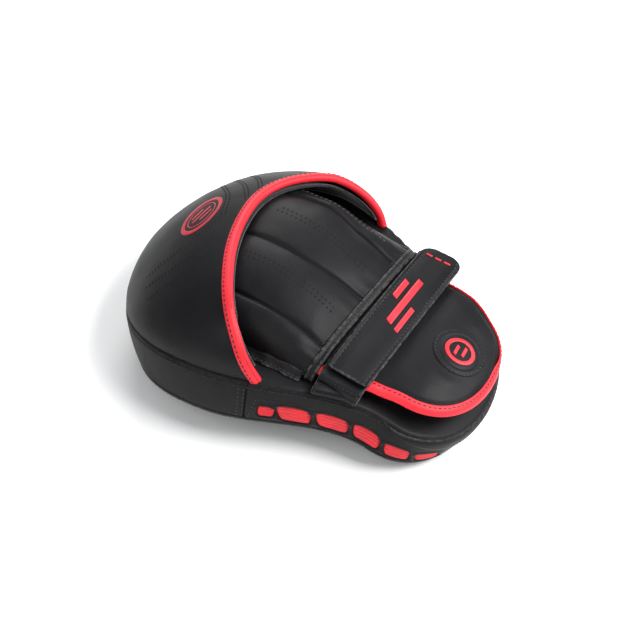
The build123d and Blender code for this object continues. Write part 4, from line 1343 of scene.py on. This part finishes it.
# ---- camera, floor and light ----
VIEW_ROTATION = (-0.56925, 0.47305, 1.01469)        # axis times angle, before the pad is tilted
VIEW_DISTANCE, PIVOT_LIFT = 1014.67, 30.0
SENSOR_WIDTH, LENS, SHIFT_UP = 36.0, 85.103, 0.01496
axes = np.array(Matrix.Rotation(float(np.linalg.norm(VIEW_ROTATION)), 3, VIEW_ROTATION))
place = np.array([0, 0, PIVOT_LIFT]) + VIEW_DISTANCE * axes[2]
place[2] += BEND_RADIUS * math.cos(FINGER_END / BEND_RADIUS) - PIVOT_LIFT
untilt = np.array([[1, 0, 0],
                   [0, math.cos(TILT), math.sin(TILT)],
                   [0, -math.sin(TILT), math.cos(TILT)]])
view = np.eye(4)
view[:3, :3] = (untilt @ axes.T)
view[:3, 3] = untilt @ place * MM + ORIGIN
camera = bpy.data.objects.new("camera", bpy.data.cameras.new("camera"))
bpy.context.scene.collection.objects.link(camera)
camera.matrix_world = Matrix(view.tolist())
camera.data.sensor_width, camera.data.lens = SENSOR_WIDTH, LENS
camera.data.shift_y = SHIFT_UP
camera.data.clip_start, camera.data.clip_end = 0.05, 20.0
bpy.context.scene.camera = camera

low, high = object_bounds()
floor_mesh = bpy.data.meshes.new("floor")
FLOOR = 6.0
corners = [(-FLOOR, -FLOOR, 0), (FLOOR, -FLOOR, 0), (FLOOR, FLOOR, 0), (-FLOOR, FLOOR, 0)]
floor_mesh.from_pydata(corners, [], [(0, 1, 2, 3)])
floor = bpy.data.objects.new("floor", floor_mesh)
floor.location.z = min(low.z, 0.0) - 0.0002
bpy.context.scene.collection.objects.link(floor)
floor_material, _, floor_bsdf = tree("pale_floor")
floor_bsdf.inputs["Base Color"].default_value = (0.93, 0.93, 0.93, 1)
floor_bsdf.inputs["Roughness"].default_value = 0.9
floor_bsdf.inputs["Specular IOR Level"].default_value = 0.1
floor.data.materials.append(floor_material)

world = bpy.data.worlds.new("studio")
world.use_nodes = True
world.node_tree.nodes["Background"].inputs[0].default_value = (0.96, 0.98, 1.0, 1)
world.node_tree.nodes["Background"].inputs[1].default_value = 0.40
bpy.context.scene.world = world
bpy.context.scene.view_settings.view_transform = "Standard"


def area_light(name, direction, distance, size, power, colour=(1, 1, 1)):
    lamp = bpy.data.objects.new(name, bpy.data.lights.new(name, "AREA"))
    lamp.data.shape = "RECTANGLE"
    lamp.data.size, lamp.data.size_y = size
    lamp.data.energy, lamp.data.color = power, colour
    d = unit(np.array(direction, float))
    target = np.array([0, 0, 0.04])
    lamp.location = (target + d * distance).tolist()
    lamp.rotation_mode = "QUATERNION"
    lamp.rotation_quaternion = Vector((-d).tolist()).to_track_quat("-Z", "Y")
    bpy.context.scene.collection.objects.link(lamp)
    return lamp


area_light("key", (0.25, -0.75, 1.0), 1.3, (0.9, 0.9), 31.0)
area_light("fill", (-0.9, 0.35, 0.8), 1.6, (1.2, 1.2), 9.0)
area_light("back", (0.9, 0.5, 0.7), 1.5, (0.8, 0.8), 14.0)
